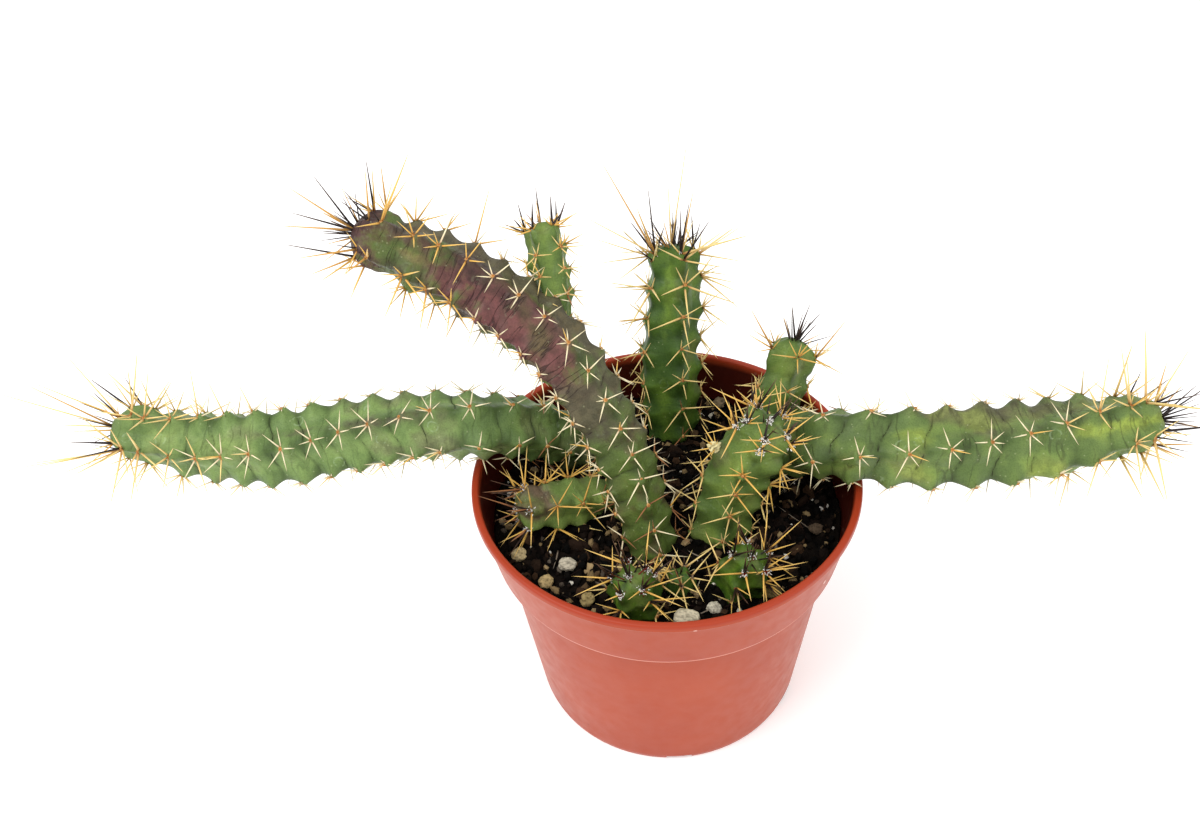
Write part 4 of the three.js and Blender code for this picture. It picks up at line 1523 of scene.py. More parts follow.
@dataclass
class Pot:
    """The thin moulded nursery pot."""

    rim: float = 54.0
    height: float = 80.4
    band: float = 19.8
    band_foot: float = 49.8
    body_top: float = 46.9
    base: float = 40.0
    wall: float = 1.3
    lip: float = 2.0
    foot_ring: float = 3.0
    floor_lift: float = 2.6
    floor_top: float = 4.2
    centre_foot: float = 7.0
    notches: int = 6
    notch_width: float = 7.6
    notch_height: float = 1.5
    hole: float = 2.6
    hole_circle: float = 27.0
    hole_sides: int = 28
    sides: int = 192
    sharp_angle: float = 40.0

    def inner_radius(self, level: Array) -> Array:
        """Radius of the inner wall: straight in the band and straight in the body.

        Args:
            level: heights over the ground.

        Returns:
            The radius at each height.
        """
        foot = self.height - self.band
        share = (level - foot) / self.band
        upper = self.band_foot - self.wall + share * (self.rim - self.lip - self.band_foot + self.wall)
        lower = self.base - self.wall + level / foot * (self.body_top - self.base)
        return np.where(level > foot, upper, lower)

    def profile(self) -> Array:
        """The closed outline from the underside's middle round the rim to the floor's middle.

        Returns:
            The outline's points, as radius and height.
        """
        foot = self.height - self.band
        ring = self.base - 1 - self.foot_ring
        outside = [
            (0, 0, 0), (self.centre_foot, 0, 0.3), (self.centre_foot + 1, self.floor_lift, 0.4),
            (ring - 1, self.floor_lift, 0.5), (ring, 0, 0.3), (self.base - 0.4, 0, 0.5),
            (self.base + 0.2, 2.0, 0.5), (self.body_top, foot - 1.2, 0.4),
            (self.band_foot - 0.3, foot - 0.5, 0.35), (self.band_foot + 0.1, foot + 0.4, 0.3),
            (self.rim - 1.0, self.height - 3.0, 0.5), (self.rim, self.height - 2.2, 0.4),
            (self.rim - 0.1, self.height - 0.1, 0.8), (self.rim - self.lip, self.height - 0.1, 0.7),
        ]
        levels = np.array([self.height - 3, foot + 0.2, foot - 1.2, self.floor_top + 2, self.floor_top])
        radii = self.inner_radius(levels) - [0, 0, 0, 0, 1.4]
        inside = np.column_stack([radii, levels, [0.4, 0.4, 0.4, 0.8, 0.8]])
        return filleted([*outside, *inside, (0, self.floor_top, 0)])

    def surface(self) -> Surface:
        """The profile carried round the axis: (r cos a, r sin a, z), with a slight waver.

        Returns:
            The pot, which carries at its points how far inside they are.
        """
        profile = self.profile()[1:-1]
        angle = turns(self.sides)
        radius, level = profile[:, :1], profile[:, 1:]
        waver = 1 + 0.0008 * np.sin(2 * angle + 1) + 0.0006 * np.sin(3 * angle)
        poles = np.array([[0, 0, 0], [0, 0, self.floor_top]], float)
        shell = closed_tubes(polar(radius * waver, angle, level)[None], poles[:1], poles[1:])
        past_lip = np.arange(len(profile)) > int(np.argmax(profile[:, 1]))
        inside = past_lip * smooth(self.height - 0.6, self.height - 3, profile[:, 1])
        shell.values = {"inside": np.append(np.repeat(inside, self.sides), [0.0, 1.0])}
        return shell

    def cutters(self) -> Surface:
        """Closed boxes for the notches in the foot ring and closed rods for the drain holes.

        Returns:
            All of them.
        """
        across = box_outline(self.base - self.foot_ring / 2, self.foot_ring + 6, self.notch_width)
        notch = prism(across, -2, self.notch_height)
        hole = prism(circle_outline(self.hole_circle, self.hole, self.hole_sides), -1, self.floor_top + 2)
        angles = turns(self.notches) - math.pi / 2
        holes = [hole.turned(angle + math.pi / self.notches) for angle in angles]
        return joined([notch.turned(angle) for angle in angles] + holes)

    def make(self) -> None:
        """Builds the pot, cuts its notches and holes, and lets it stand for the CAD pot."""
        finish = PlasticFinish().material()
        piece = build("pot_shell", self.surface(), finish)
        cutter = build("pot_cutter", self.cutters(), finish)
        cut = piece.modifiers.new("drainage", "BOOLEAN")
        cut.operation = "DIFFERENCE"
        cut.solver = "EXACT"
        cut.object = cutter
        graph = bpy.context.evaluated_depsgraph_get()
        mesh = bpy.data.meshes.new_from_object(piece.evaluated_get(graph))
        piece.modifiers.clear()
        piece.data = mesh
        bpy.data.objects.remove(cutter)
        mesh.shade_smooth()
        mesh.set_sharp_from_angle(angle=math.radians(self.sharp_angle))
        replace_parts(piece, "pot")


# Soil, grit and stones


def random_turns(rng: Chance, count: int) -> Array:
    """Random rotation matrices from normalised random quaternions.

    Args:
        rng: source of chance.
        count: how many.

    Returns:
        The matrices.
    """
    w, x, y, z = unit(rng.normal(size=(count, 4))).T
    rows = [
        [1 - 2 * (y * y + z * z), 2 * (x * y - w * z), 2 * (x * z + w * y)],
        [2 * (x * y + w * z), 1 - 2 * (x * x + z * z), 2 * (y * z - w * x)],
        [2 * (x * z - w * y), 2 * (y * z + w * x), 1 - 2 * (x * x + y * y)],
    ]
    return np.moveaxis(np.array(rows), -1, 0)


@dataclass(frozen=True)
class Grit:
    """A kind of piece in the mix: its share of the pieces, size range, flatness and colours."""

    share: float
    least: float
    most: float
    flatness: float
    colours: tuple[Colour, ...]


# Crumbs of peat, flakes of bark, chips of pumice, perlite and ash.
GRITS = (
    Grit(0.6, 0.4, 1.7, 0.75, ((7, 6, 5), (13, 10, 8), (28, 20, 15))),
    Grit(0.18, 0.7, 2.4, 0.45, ((40, 28, 20), (62, 44, 30), (24, 17, 13))),
    Grit(0.11, 0.4, 1.8, 0.75, ((134, 112, 78), (160, 136, 98), (92, 72, 50))),
    Grit(0.05, 0.35, 1.1, 0.85, ((222, 216, 202), (240, 236, 226), (200, 192, 176))),
    Grit(0.06, 0.4, 1.3, 0.8, ((84, 74, 64), (106, 96, 84))),
)


@dataclass
class Soil:
    """The potting mix: a rough low mound with crumbs, chips, perlite and twigs on it."""

    level: float = 66.2
    mound: float = 2.0
    rough: float = 0.7
    spread: float = 49.0
    gap: float = 0.45
    foot: float = 38.7
    shoulder: tuple[float, float] = (44.9, 59.0)
    band_level: float = 61.2
    stem_zone: tuple[float, float] = (60.0, 74.0)
    grit_edge: float = 47.6
    twig_edge: float = 42.0
    twig_end: float = 46.0
    rows: int = 70
    columns: int = 240
    pieces: int = 3000
    twigs: int = 120
    seed: int = 11

    def top(self, x: Array, y: Array) -> Array:
        """Height of the mix: level + mound max(0, 1 - (r / spread)^2) + rough times crossed sine waves.

        Args:
            x: places along X.
            y: places along Y.

        Returns:
            The height at each place.
        """
        waves = np.sin(0.31 * x + 1.3) * np.cos(0.27 * y) + 0.6 * np.sin(0.71 * x - 0.53 * y + 2)
        dome = np.maximum(0, 1 - (x**2 + y**2) / self.spread**2)
        return self.level + self.mound * dome + self.rough * waves

    def surface(self, pot: Pot) -> Surface:
        """The mix as a closed body: the sides from the bottom up, then a crumbly top on rings.

        Args:
            pot: the pot that holds it.

        Returns:
            The body.
        """
        bottom = pot.floor_top + 0.4
        edge = float(pot.inner_radius(np.array(self.level))) - self.gap
        upper_side = ((edge - 0.4, self.band_level), (edge, self.level - 2.5))
        side = np.array([(self.foot, bottom), self.shoulder, *upper_side])
        angle = turns(self.columns)
        lower = polar(side[:, :1], angle, side[:, 1:])
        flat = polar(np.linspace(edge, 0.8, self.rows)[:, None], angle, 0.0)
        crumbs = 0.45 * ripple(flat, 5.0, 3) + 0.3 * ripple(flat, 2.2, 4, 24)
        crumbs = crumbs + 0.12 * ripple(flat, 1.1, 5, 24)
        x, y = flat[..., 0], flat[..., 1]
        upper = np.stack([x, y, self.top(x, y) + crumbs - 0.3], -1)
        poles = np.array([[0, 0, bottom], [0, 0, upper[-1, :, 2].mean()]])
        return closed_tubes(np.concatenate([lower, upper])[None], poles[:1], poles[1:])

    def scattered(self, rng: Chance, count: int, clear: Clearance, edge: float) -> Array:
        """Random places on the mix that aren't inside a stem.

        Args:
            rng: source of chance.
            count: how many are tried.
            clear: where the stems are.
            edge: how far from the pot's axis they may lie.

        Returns:
            The places, as x and y.
        """
        reach = edge * np.sqrt(rng.uniform(0, 1, count))
        spots = polar(reach, rng.uniform(0, FULL_TURN, count), 0.0)[:, :2]
        low, high = self.stem_zone
        here = (clear.point[:, 2] > low) & (clear.point[:, 2] < high)
        gap = np.linalg.norm(spots[:, None] - clear.point[here, :2], axis=-1) - clear.radius[here]
        return spots[gap.min(1) > -2.0]

    def grit(self, clear: Clearance) -> Surface:
        """Small lumps of every kind, each an icosahedron pushed in and out, stretched and turned.

        Args:
            clear: where the stems are.

        Returns:
            The lumps, with a colour at each point.
        """
        rng = np.random.default_rng(self.seed)
        base, faces = ball(0)
        spots = self.scattered(rng, self.pieces, clear, self.grit_edge)
        count = len(spots)
        kind = rng.choice(len(GRITS), count, p=[grit.share for grit in GRITS])
        least, most, flatness = np.array([(grit.least, grit.most, grit.flatness) for grit in GRITS])[kind].T
        size = least + (most - least) * rng.uniform(0, 1, count) ** 1.8
        stretch = np.stack([rng.uniform(0.7, 1.3, count), rng.uniform(0.7, 1.3, count), flatness], -1)
        shape = base * (1 + rng.uniform(-0.24, 0.24, (count, len(base), 1)))
        shape = shape * (size[:, None] * stretch)[:, None]
        shape = np.einsum("nij,nkj->nki", random_turns(rng, count), shape)
        middle = np.column_stack([spots, self.top(*spots.T) + 0.25 * size])
        tris = faces + (np.arange(count) * len(base))[:, None, None]
        choices = np.array([len(grit.colours) for grit in GRITS])
        first = np.cumsum(choices) - choices
        palette = linear(np.concatenate([grit.colours for grit in GRITS]))
        colours = palette[first[kind] + (rng.uniform(0, 0.999, count) * choices[kind]).astype(int)]
        colours = colours[:, None] * rng.uniform(0.8, 1.15, (count, len(base), 1))
        points = (shape + middle[:, None]).reshape(-1, 3)
        return Surface(points, tris=tris.reshape(-1, 3), colours=colours.reshape(-1, 3))

    def twig_set(self, clear: Clearance) -> Needles:
        """Thin twigs and fibres that lie on the mix in all directions.

        Args:
            clear: where the stems are.

        Returns:
            The twigs.
        """
        rng = np.random.default_rng(self.seed + 1)
        spots = self.scattered(rng, self.twigs, clear, self.twig_edge)
        count = len(spots)
        angle = rng.uniform(0, FULL_TURN, count)
        ends = spots + polar(rng.uniform(3.5, 12, count), angle, 0.0)[:, :2]
        ends *= np.minimum(1, self.twig_end / np.linalg.norm(ends, axis=1))[:, None]
        root = np.column_stack([spots, self.top(*spots.T) + rng.uniform(0.3, 1.0, count)])
        end = np.column_stack([ends, self.top(*ends.T) + rng.uniform(0.3, 1.8, count)])
        tone = rng.choice([Tone.GREY.number, Tone.DARK.number], count)
        return Needles(root, end, rng.uniform(0.14, 0.34, count), rng.normal(0, 0.08, count), tone)

    def make(self, pot: Pot, clear: Clearance) -> None:
        """Builds the mix and what lies on it.

        Args:
            pot: the pot that holds it.
            clear: where the stems are.
        """
        body = build("potting_mix", self.surface(pot), GroundFinish().material())
        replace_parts(body, "soil")
        finish = TintedFinish("grit", roughness=0.92, clouding=0.5, grain=0.8).material()
        grit = build("grit", self.grit(clear), finish)
        grit.data.shade_flat()
        build("twigs", self.twig_set(clear).surface(4), finish)


@dataclass(frozen=True)
class Stone:
    """A loose stone: its number, its middle, its half sizes and its colour."""

    number: int
    at: Point
    half: Point
    colour: Colour

    def surface(self) -> Surface:
        """A ball pushed in and out by waves of two sizes, with a worn hollow on top.

        Returns:
            The stone, with a colour at each point.
        """
        base, faces = ball(3)
        push = 0.96 + 0.1 * ripple(base, 1.6, 200 + self.number)
        push = push + 0.05 * ripple(base, 0.55, 300 + self.number, 24)
        hollow = np.exp(-(((base[:, 0] - 0.25) / 0.35) ** 2) - ((base[:, 1] + 0.35) / 0.28) ** 2)
        push = push - 0.16 * hollow * (base[:, 2] > 0)
        points = base * push[:, None] * np.array(self.half) + np.array(self.at)
        pits = smooth(0.1, 0.7, ripple(base, 0.35, 400 + self.number, 24))
        # The hollow and small pits are painted darker: painted shade in recesses.
        tone = linear(self.colour) * ((1 - 0.4 * pits) * (1 - 0.45 * hollow))[:, None]
        return Surface(points, tris=faces, colours=tone)

    def make(self, finish: Material) -> None:
        """Builds the stone in place of its CAD node."""
        name = f"stone_{self.number:02d}"
        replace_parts(build(name + "_pumice", self.surface(), finish), name)


STONES = [
    Stone(1, (1.8, -42.6, 69), (3.8, 2.9, 2.6), (226, 214, 184)),
    Stone(2, (-41.6, -15.6, 67.6), (2.4, 2.1, 1.8), (206, 184, 138)),
    Stone(3, (9.5, -38.5, 67.8), (2.1, 1.8, 1.6), (214, 206, 184)),
    Stone(4, (25.5, -34.5, 67.6), (2.4, 2, 1.6), (120, 104, 66)),
    Stone(5, (-34.5, -26, 67.6), (2.3, 2.2, 1.8), (198, 172, 122)),
    Stone(6, (40.5, -13, 67.5), (2.1, 1.7, 1.5), (96, 80, 64)),
    Stone(7, (-23.5, -33, 67.6), (2, 2.3, 1.6), (168, 148, 100)),
    Stone(8, (-28.5, -20.5, 67.9), (2.6, 2, 1.9), (200, 190, 168)),
    Stone(9, (20.5, 42, 67.4), (2.4, 2.2, 1.7), (150, 132, 104)),
    Stone(10, (-38, 0, 67.2), (1.8, 2, 1.5), (132, 116, 92)),
]


# The plant


GREEN = SkinFinish(
    name="green_skin", green=(108, 132, 74), valley=(129, 153, 87), shade=(80, 102, 56), blush=(98, 90, 72),
    pale=(144, 166, 96), wrinkles=0.35, spots=0.4, spacing=5.0, furrow=(46, 56, 30),
)
BLOTCHED = SkinFinish(
    name="blotched_skin", green=(101, 123, 65), valley=(116, 137, 68), shade=(72, 90, 48), blush=(92, 88, 64),
    pale=(148, 166, 72), wrinkles=0.5, spots=0.35, spacing=5.0, furrow=(40, 36, 24), aged=1.0,
)
PURPLE = SkinFinish(
    name="purple_skin", green=(90, 110, 50), valley=(102, 125, 56), shade=(68, 76, 44), blush=(110, 63, 66),
    pale=(116, 108, 66), dry=(90, 82, 64), dusk=(66, 46, 44), wrinkles=1.0, spots=0.12, spacing=2.3,
    furrow=(46, 32, 30), aged=0.3, gathered=0.85,
)
RICH = SkinFinish(
    name="rich_green_skin", green=(72, 101, 36), valley=(96, 124, 42), shade=(48, 72, 32), blush=(90, 80, 50),
    pale=(108, 136, 50), wrinkles=0.12, spots=0.15, aged=0.4,
)
DEEP = SkinFinish(
    name="deep_green_skin", green=(58, 85, 25), valley=(86, 117, 31), shade=(36, 57, 21), blush=(90, 80, 50),
    pale=(116, 146, 44), wrinkles=0.1, spots=0.1, aged=0.0,
)
FRESH = SkinFinish(
    name="fresh_green_skin", green=(92, 114, 52), valley=(112, 134, 60), shade=(72, 94, 46),
    blush=(92, 92, 60), pale=(134, 156, 72), wrinkles=0.15, spots=0.15, aged=0.0,
)
LIGHT = SkinFinish(
    name="light_green_skin", green=(112, 134, 68), valley=(130, 152, 76), shade=(92, 114, 58),
    blush=(102, 80, 68), pale=(142, 166, 82), dry=(86, 74, 66), wrinkles=0.3, spots=0.1, spacing=3.0,
    aged=0.2,
)

BLACK_TUFT = Crown(16, 11.0, (Tone.DARK, Tone.DARK, Tone.DARK, Tone.SCORCHED))
GOLD_TUFT = Crown(7, 12.0, (Tone.SCORCHED, Tone.DARK, Tone.GOLDEN))
WOOLLY_TUFT = Crown(4, 7.0, (Tone.DARK,), 80, (Tone.WHITE,) * 4 + (Tone.DARK,), 5.0, 1, 0.52)
SMALL_TUFT = Crown(5, 8.0, (Tone.DARK, Tone.AMBER, Tone.SCORCHED))
RED_TUFT = Crown(
    7, 9.5, (Tone.DARK, Tone.DARK, Tone.RED), 70, (Tone.WHITE, Tone.WHITE, Tone.RED), 6.6, 2, 0.5
)
DRY_TUFT = Crown(
    6, 8.0, (Tone.AMBER, Tone.GOLDEN, Tone.DARK), 70, (Tone.WHITE, Tone.WHITE, Tone.GREY), 5.6, 1, 0.52
)

BLUSH = partial(Marking, Shade.BLUSH)
BROWN = partial(Marking, Shade.BROWN)
DUSK = partial(Marking, Shade.DUSK)
PALE = partial(Marking, Shade.PALE)

STEMS = [
    Stem(
        name="stem_left_long",
        line=[
            (-17, 25, 57), (-24, 22, 72), (-35, 16, 85), (-50, 10.5, 92.5), (-67, 12, 91.8), (-90.5, 14, 88),
            (-106, 14.5, 86), (-128, 18, 85), (-145, 20, 88), (-156, 22, 91),
        ],
        crest=[(0, 8.5), (0.15, 9.5), (0.35, 10.4), (0.55, 11.6), (0.72, 12.2), (0.86, 10.8), (0.95, 8)],
        first=12.6, pitch=8.6, turn=(70, -40), spine=5.8,
        far={
            Tone.STRAW: [
                (-163, 26, 116), (-172, 18, 97), (-142, 28, 108), (-130, 26, 109), (-126, 24, 105),
                (-155, 30, 103), (-154, 16, 67), (-143, 14, 67), (-117, 22, 104), (-185.5, 17, 82),
                (-185.5, 22, 107), (-184, 12, 86),
            ],
            Tone.GOLDEN: [(-182, 14, 84), (-174, 16, 79), (-163, 10, 86), (-173, 20, 111)],
            Tone.SCORCHED: [(-177, 24, 108)],
            Tone.DARK: [(-159, 24, 103), (-164, 14, 93)],
        },
        finish=GREEN, crown=GOLD_TUFT, creases=1.0, gold_reach=42.0, growth=1.9, short=1.0, seed=1,
        old_tone=Tone.IVORY, young_tone=Tone.STRAW,
        markings=[
            BLUSH(78, 16, 18, 16, 0.75), BLUSH(104, 20, 22, 14, 0.7), BLUSH(112, 40, 95, 26, 0.45),
            PALE(136, 26, 4, 30, 0.55), BLUSH(62, 22, -34, 22, 0.35), BROWN(10, 14, 0, 300, 0.5),
        ],
    ),
    Stem(
        name="stem_right_long",
        line=[
            (18, 8.5, 57), (22.5, 8, 70), (30, 5.5, 80), (42, -2, 89.5), (56, -6.5, 92), (73, -8, 91),
            (95.5, -7.5, 90), (108, -6, 90), (121, -4, 90.5), (134, -2.5, 91),
        ],
        crest=[(0, 8.5), (0.15, 9.5), (0.3, 10.6), (0.5, 12), (0.7, 12.5), (0.85, 11.5), (0.94, 8)],
        first=14.2, pitch=10.2, turn=(62, -47), hand=-1, spine=5.9,
        far={
            Tone.STRAW: [
                (117, 2, 112), (140, 4, 111), (120, 0, 114), (130, -8, 107), (138, -14, 95), (138, -12, 84),
                (125, -16, 84), (132, -10, 75), (109, -10, 65),
            ],
            Tone.SCORCHED: [(133, 2, 108), (144, -6, 78), (146, -4, 82), (150.5, -5, 87)],
            Tone.DARK: [(144, 2, 99), (137, -4, 103), (142, -6, 96), (142, -8, 92), (150.5, 4, 98)],
        },
        finish=BLOTCHED, crown=BLACK_TUFT, creases=0.72, gold_reach=42.0, growth=2.2, seed=2,
        old_tone=Tone.IVORY, young_tone=Tone.STRAW,
        markings=[
            PALE(64, 16, -22, 22, 0.5), PALE(86, 30, 48, 22, 0.3), PALE(122, 18, -6, 14, 1.1),
            BLUSH(86, 12, -20, 14, 0.55), BLUSH(104, 12, -30, 12, 0.45), BLUSH(84, 36, -78, 34, 0.85),
            BROWN(8, 14, 0, 300, 0.5),
        ],
    ),
    Stem(
        name="stem_arching",
        line=[
            (-4, -17, 57), (-5.5, -15, 68), (-10.5, -8, 90), (-19, -1.6, 110), (-30, 7.3, 124.5),
            (-47.5, 17, 135.5), (-61, 22, 141.5), (-77, 25, 149.5),
        ],
        crest=[(0, 7.5), (0.12, 8.5), (0.3, 9), (0.5, 10), (0.7, 10.6), (0.85, 10.4), (0.94, 8)],
        first=11.7, pitch=7.7, turn=(10, 30), spine=5.8,
        far={
            Tone.DARK: [(-71, 30, 167), (-85, 28, 165), (-96, 24, 147), (-77, 24, 162), (-93, 28, 154)],
            Tone.SCORCHED: [
                (-91, 24, 164), (-95, 22, 154), (-89, 18, 141), (-90, 14, 149), (-68, 32, 164),
                (-71, 27, 166), (-78, 10, 146),
            ],
            Tone.GOLDEN: [
                (-80, 16, 133), (-64, 24, 164), (-62, 34, 158), (-61, 36, 152), (-49, 30, 150),
                (-69, 12, 134), (-41, 30, 157),
            ],
        },
        finish=PURPLE, crown=BLACK_TUFT, creases=0.8, gold_reach=48.0, growth=1.7, shrink=-0.42, seed=3,
        slot=Slot.PURPLE_STEM, old_tone=Tone.IVORY,
        markings=[
            BLUSH(84, 19, -24, 62, 1.8), BLUSH(102, 15, -20, 74, 1.1), BLUSH(120, 26, 22, 24, 0.7),
            BLUSH(136, 14, 0, 400, 1.25), BROWN(56, 10, -24, 62, 1.15), BROWN(66, 12, 30, 24, 0.7),
            BROWN(92, 48, 76, 36, 1.2), BROWN(122, 18, -50, 40, 0.8), BROWN(126, 18, 40, 60, 0.7),
            # The dark marks at the tip and along the sides are partly painted shade.
            DUSK(99, 9, -84, 34, 1.1), DUSK(104, 9, 22, 48, 0.8), DUSK(91, 6, 14, 22, 0.5),
            DUSK(136, 10, 30, 400, 1.3), PALE(119, 7, -6, 12, 1.0), PALE(30, 16, -50, 40, 0.4),
        ],
    ),
    Stem(
        name="stem_arching_branch", node="stem_arching",
        line=[(-27, 11, 122), (-27, 18, 130), (-28, 25, 137), (-29.5, 31, 144)],
        crest=[(0, 4.5), (0.4, 6), (0.75, 6.2), (0.9, 5)],
        first=3.0, pitch=6.0, turn=(-30, -30), spine=5.5,
        far={
            Tone.DARK: [(-35, 34, 149), (-25, 34, 149), (-39, 30, 145), (-23, 30, 148), (-30, 35, 153)],
            Tone.GOLDEN: [(-18, 28, 142), (-22, 28, 145)],
        },
        finish=FRESH, crown=SMALL_TUFT, creases=0.1, gold_reach=9.0, growth=0.5, young=(0.5,), seed=4,
        slot=Slot.PURPLE_STEM,
    ),
    Stem(
        name="stem_back_upright",
        line=[(4.5, 30, 57), (4, 33, 75), (4.5, 39, 94), (6.5, 46, 109), (6.5, 51.5, 121)],
        crest=[(0, 8), (0.2, 9.5), (0.45, 10.6), (0.62, 9.6), (0.8, 9.6), (0.93, 7.5)],
        first=12.9, pitch=8.9, turn=(20, 20), spine=7.6,
        far={
            Tone.SCORCHED: [(-13, 54, 149), (-4, 40, 142), (-11, 36, 106), (13, 52, 139)],
            Tone.DARK: [(0, 50, 142), (9, 50, 134)],
            Tone.STRAW: [
                (12, 58, 153), (6, 56, 140), (28, 52, 126), (24, 54, 123), (26, 42, 120), (22, 50, 105),
                (-19, 50, 134), (-16, 54, 123), (-15, 50, 117), (-14, 46, 113), (25, 44, 111),
            ],
        },
        finish=RICH, crown=BLACK_TUFT, creases=0.12, gold_reach=34.0, growth=1.7, seed=5,
        young_tone=Tone.STRAW,
        markings=[PALE(54, 20, -16, 14, 0.8), PALE(26, 16, -18, 12, 0.6)],
    ),
    Stem(
        name="stem_back_right",
        line=[(30, 24.5, 57), (32.5, 25, 68), (34.6, 25, 82), (40.5, 32, 99)],
        crest=[(0, 7), (0.3, 8.2), (0.6, 8.4), (0.85, 7.4)],
        first=13.0, pitch=9.0, turn=(10, 10), spine=6.8,
        far={
            Tone.SCORCHED: [(27, 34, 110), (55, 32, 105)],
            Tone.DARK: [(39, 34, 110), (45, 36, 109), (48, 34, 107)],
            Tone.STRAW: [(54, 30, 100)],
        },
        finish=FRESH, crown=BLACK_TUFT, creases=0.2, gold_reach=14.0, growth=0.6, young=(0.45,), seed=6,
        markings=[PALE(30, 10, -10, 20, 0.4)],
    ),
    Stem(
        name="stem_centre_right",
        line=[(12, -12.5, 57), (14, -10.5, 68), (18.5, -8, 86), (23, -9.5, 98), (26, -11, 107)],
        crest=[(0, 8), (0.25, 9.3), (0.55, 10.2), (0.8, 10), (0.92, 7.5)],
        first=13.0, pitch=9.0, turn=(5, 5), spine=7.2,
        far={
            Tone.GOLDEN: [
                (14, -6, 115), (11, -8, 113), (23, -4, 116), (37, -10, 109), (37, -14, 104), (35, -18, 105),
                (22, -20, 104), (18, -18, 103),
            ],
            Tone.DARK: [(28, -8, 119), (18, -14, 110), (31, -10, 113)],
        },
        finish=FRESH, crown=WOOLLY_TUFT, creases=0.15, gold_reach=30.0, growth=0.5, arms=1.5,
        young=(0.3, 0.72), seed=7, scab=(12.2, -9.6, 98.0),
        markings=[
            # PALE(16, 14, 0, 60, 0.4) is painted light: it lightens the foot where the other stems shade it.
            PALE(40, 8, -10, 18, 0.6), PALE(16, 14, 0, 60, 0.4), BROWN(30, 16, -72, 24, 0.4),
            BLUSH(34, 14, -55, 16, 0.25),
        ],
    ),
    Stem(
        name="stem_left_short",
        line=[(-12, 8, 58), (-19, 3, 68), (-29, -2.5, 73.5), (-41.5, -7, 76.5)],
        crest=[(0, 6.5), (0.35, 7.8), (0.7, 8.2), (0.9, 6.5)],
        first=10.6, pitch=6.6, turn=(-4, -4), spine=7.0,
        far={
            Tone.GOLDEN: [
                (-51, -16, 74), (-47, -16, 73), (-30, -18, 80), (-25, -16, 85), (-37, -2, 96), (-45, -6, 91),
            ],
            Tone.AMBER: [(-50, -10, 87), (-52, -6, 82)],
            Tone.DARK: [(-48, -8, 84), (-44, -12, 84)],
        },
        finish=LIGHT, crown=DRY_TUFT, creases=0.15, gold_reach=26.0, growth=0.9, arms=0.95,
        young=(0.5,), seed=8,
        markings=[BLUSH(38, 8, 30, 80, 1.5), PALE(19, 9, -20, 50, 0.8)],
    ),
    Stem(
        name="stem_front_left",
        line=[(-8.5, -34, 57), (-10, -35.5, 68), (-12.5, -38, 81.5)],
        crest=[(0, 6.5), (0.4, 7.8), (0.75, 7.8), (0.92, 5.2)],
        first=11.5, pitch=7.5, turn=(-45, -45), spine=9.2,
        far={
            Tone.GOLDEN: [(1, -46, 90), (-3, -50, 78), (-14, -50, 76), (-19, -44, 80)],
            Tone.DARK: [(-9, -46, 92), (-12, -40, 90), (-16, -38, 96), (-20, -40, 83)],
        },
        finish=DEEP, crown=RED_TUFT, creases=0.1, gold_reach=9.0, growth=0.3, arms=0.7, young=(0.5,), seed=9,
    ),
    Stem(
        name="stem_front_right",
        line=[(16, -28, 57), (17, -30, 68), (19.5, -33.5, 81)],
        crest=[(0, 6.5), (0.4, 8), (0.75, 7.8), (0.92, 5.2)],
        first=11.5, pitch=7.5, turn=(-12, -12), spine=9.2,
        far={
            Tone.GOLDEN: [
                (32, -32, 92), (30, -36, 88), (31, -38, 81), (27, -44, 76), (13, -44, 74), (6, -42, 85),
            ],
            Tone.DARK: [(16, -34, 97), (20, -36, 89), (15, -42, 76)],
        },
        finish=DEEP, crown=RED_TUFT, creases=0.1, gold_reach=9.0, growth=0.3, arms=0.7, young=(0.5,), seed=10,
        markings=[PALE(18, 6, -20, 24, 0.4)],
    ),
    Stem(
        name="stem_front_tiny",
        line=[(2, -29, 58), (1.6, -30, 66), (1, -31, 73)],
        crest=[(0, 4), (0.4, 5), (0.75, 5), (0.92, 3.6)],
        first=8.0, pitch=5.0, turn=(0, 0), spine=4.6,
        far={Tone.AMBER: [(-1, -35, 82)]},
        finish=RICH, crown=Crown(6, 5.0, (Tone.DARK, Tone.GREY), wools=(Tone.GREY,)),
        creases=0.2, gold_reach=4.0, arms=0.8, young=(0.5,), seed=11,
        old_tone=Tone.IVORY, young_tone=Tone.STRAW,
    ),
]


@dataclass
class Plant:
    """All the stems, with their skins, areoles and spines."""

    stems: Sequence[Stem]

    def make(self, clear: Clearance) -> None:
        """Builds each stem's pieces; the skin stands for the CAD stem.

        Args:
            clear: what spines keep clear of.
        """
        horn = TintedFinish("spine", roughness=0.42, clouding=0.18, grain=0.1, gloss=0.3).material()
        felt = TintedFinish("areole_felt", roughness=0.95, clouding=0.35, grain=0.9).material()
        for stem in self.stems:
            growth = Growth(stem, stem.areoles(), np.random.default_rng(SEED_STEP * stem.seed))
            skin = build(stem.name + "_skin", stem.skin(), stem.finish.material())
            spines = needles_joined([growth.stars(), growth.tuft(), growth.centrals(), growth.longest()])
            build(stem.name + "_spines", clear.fitted(spines, stem.node).surface(), horn)
            soft = [growth.cushions(), growth.wool().surface(3)]
            if stem.scab:
                soft.append(stem.scab_lump())
            build(stem.name + "_felt", joined(soft), felt)
            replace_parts(skin, stem.node)


# The stage


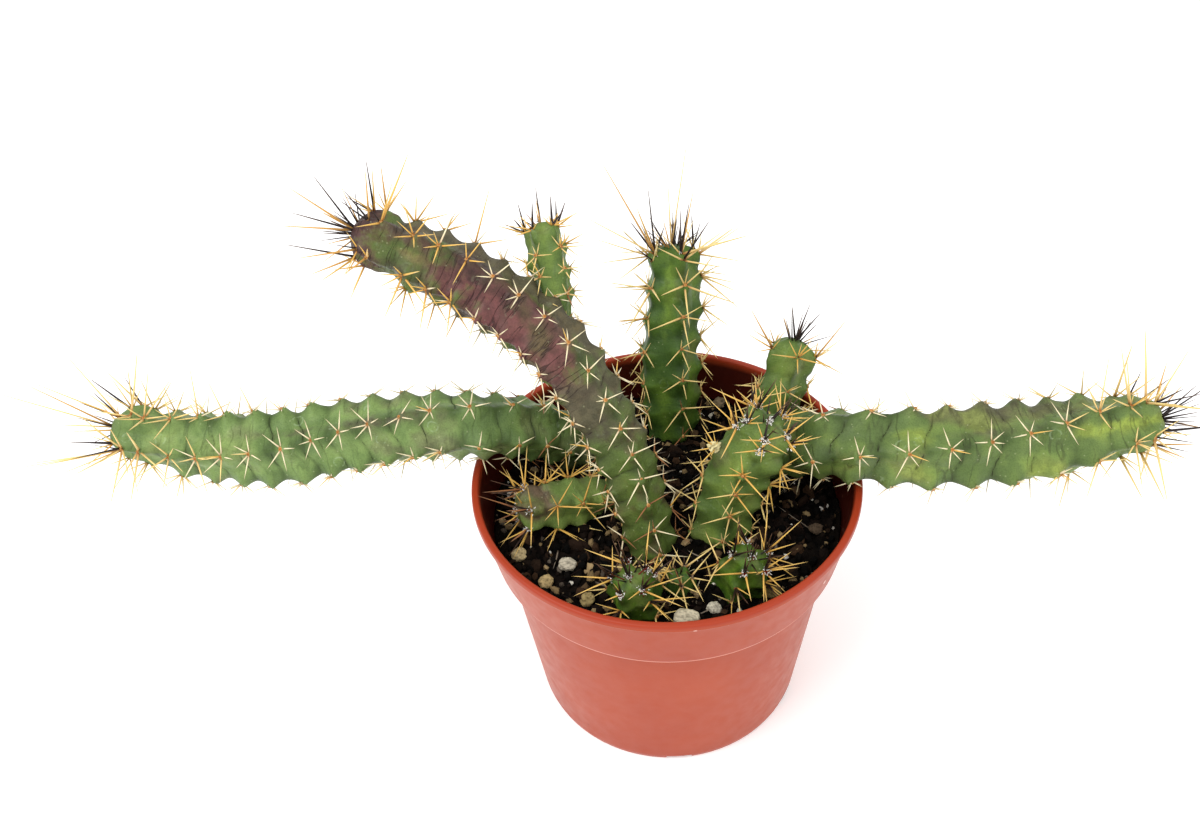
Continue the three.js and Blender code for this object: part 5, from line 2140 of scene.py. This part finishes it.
@dataclass
class Studio:
    """The floor, the light and the camera."""

    location: Point = (-17.09, -236.92, 314.96)
    pitch: float = 41.90
    roll: float = -3.66
    lens: float = 36.0
    sensor: float = 36.0
    floor_half: float = 2500.0
    aim: Point = (0.0, 0.0, 80.0)

    def floor(self) -> None:
        """A wide plain pale floor, just under the pot."""
        corners = box_outline(0.0, 2 * self.floor_half, 2 * self.floor_half) * MM
        mesh = bpy.data.meshes.new("floor")
        mesh.from_pydata(np.column_stack([corners, np.zeros(4)]).tolist(), [], [[0, 1, 2, 3]])
        mesh.materials.append(StageFinish().material())
        placed("floor", mesh)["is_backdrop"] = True

    def lamp(self, name: str, place: Point, size: float, power: float) -> None:
        """A large soft square lamp aimed at the plant.

        Args:
            name: the lamp's name.
            place: where it hangs.
            size: the length of its sides.
            power: its power, in watts.
        """
        data = bpy.data.lights.new(name, "AREA")
        data.shape = "SQUARE"
        data.size = size * MM
        data.energy = power
        lamp = placed(name, data)
        lamp.location = Vector(place) * MM
        lamp.rotation_euler = (Vector(self.aim) - Vector(place)).to_track_quat("-Z", "Y").to_euler()

    def light(self) -> None:
        """Soft light from all round, a large lamp above at the left and a weaker one at the right."""
        world = bpy.data.worlds.new("studio")
        world.use_nodes = True
        background = world.node_tree.nodes["Background"]
        background.inputs["Color"].default_value = (1, 1, 1, 1)
        background.inputs["Strength"].default_value = 1.0
        bpy.context.scene.world = world
        self.lamp("key", (-500, -250, 900), 700, 6.0)
        self.lamp("fill", (500, -500, 600), 900, 2.0)

    def camera(self) -> None:
        """The camera: it looks along +Y, is pitched down and then rolled about its own axis."""
        tilt = Matrix.Rotation(math.radians(90 - self.pitch), 4, "X")
        roll = Matrix.Rotation(math.radians(self.roll), 4, "Z")
        data = bpy.data.cameras.new("camera")
        data.sensor_width = self.sensor
        data.lens = self.lens
        data.clip_start, data.clip_end = 0.01, 20.0
        camera = placed("camera", data)
        camera.matrix_world = Matrix.Translation(Vector(self.location) * MM) @ tilt @ roll
        bpy.context.scene.camera = camera

    def make(self) -> None:
        """Sets the stage and the plain colour transform."""
        self.floor()
        self.light()
        self.camera()
        bpy.context.scene.view_settings.view_transform = "Standard"


def box_corners() -> list[list[float]]:
    """The shown object's lowest and highest corner."""
    return [list(corner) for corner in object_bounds()]


def main() -> None:
    """Builds the pot, the soil, the stones and the plant, and sets the stage."""
    logging.basicConfig(level=logging.INFO, format="%(message)s")
    cad = box_corners()
    Studio().make()
    pot, soil = Pot(), Soil()
    clear = Clearance(STEMS, pot, soil, cad)
    pot.make()
    soil.make(pot, clear)
    pumice = TintedFinish("pumice", roughness=0.95, clouding=0.35, grain=0.9).material()
    for stone in STONES:
        stone.make(pumice)
    Plant(STEMS).make(clear)


if __name__ == "__main__":
    main()
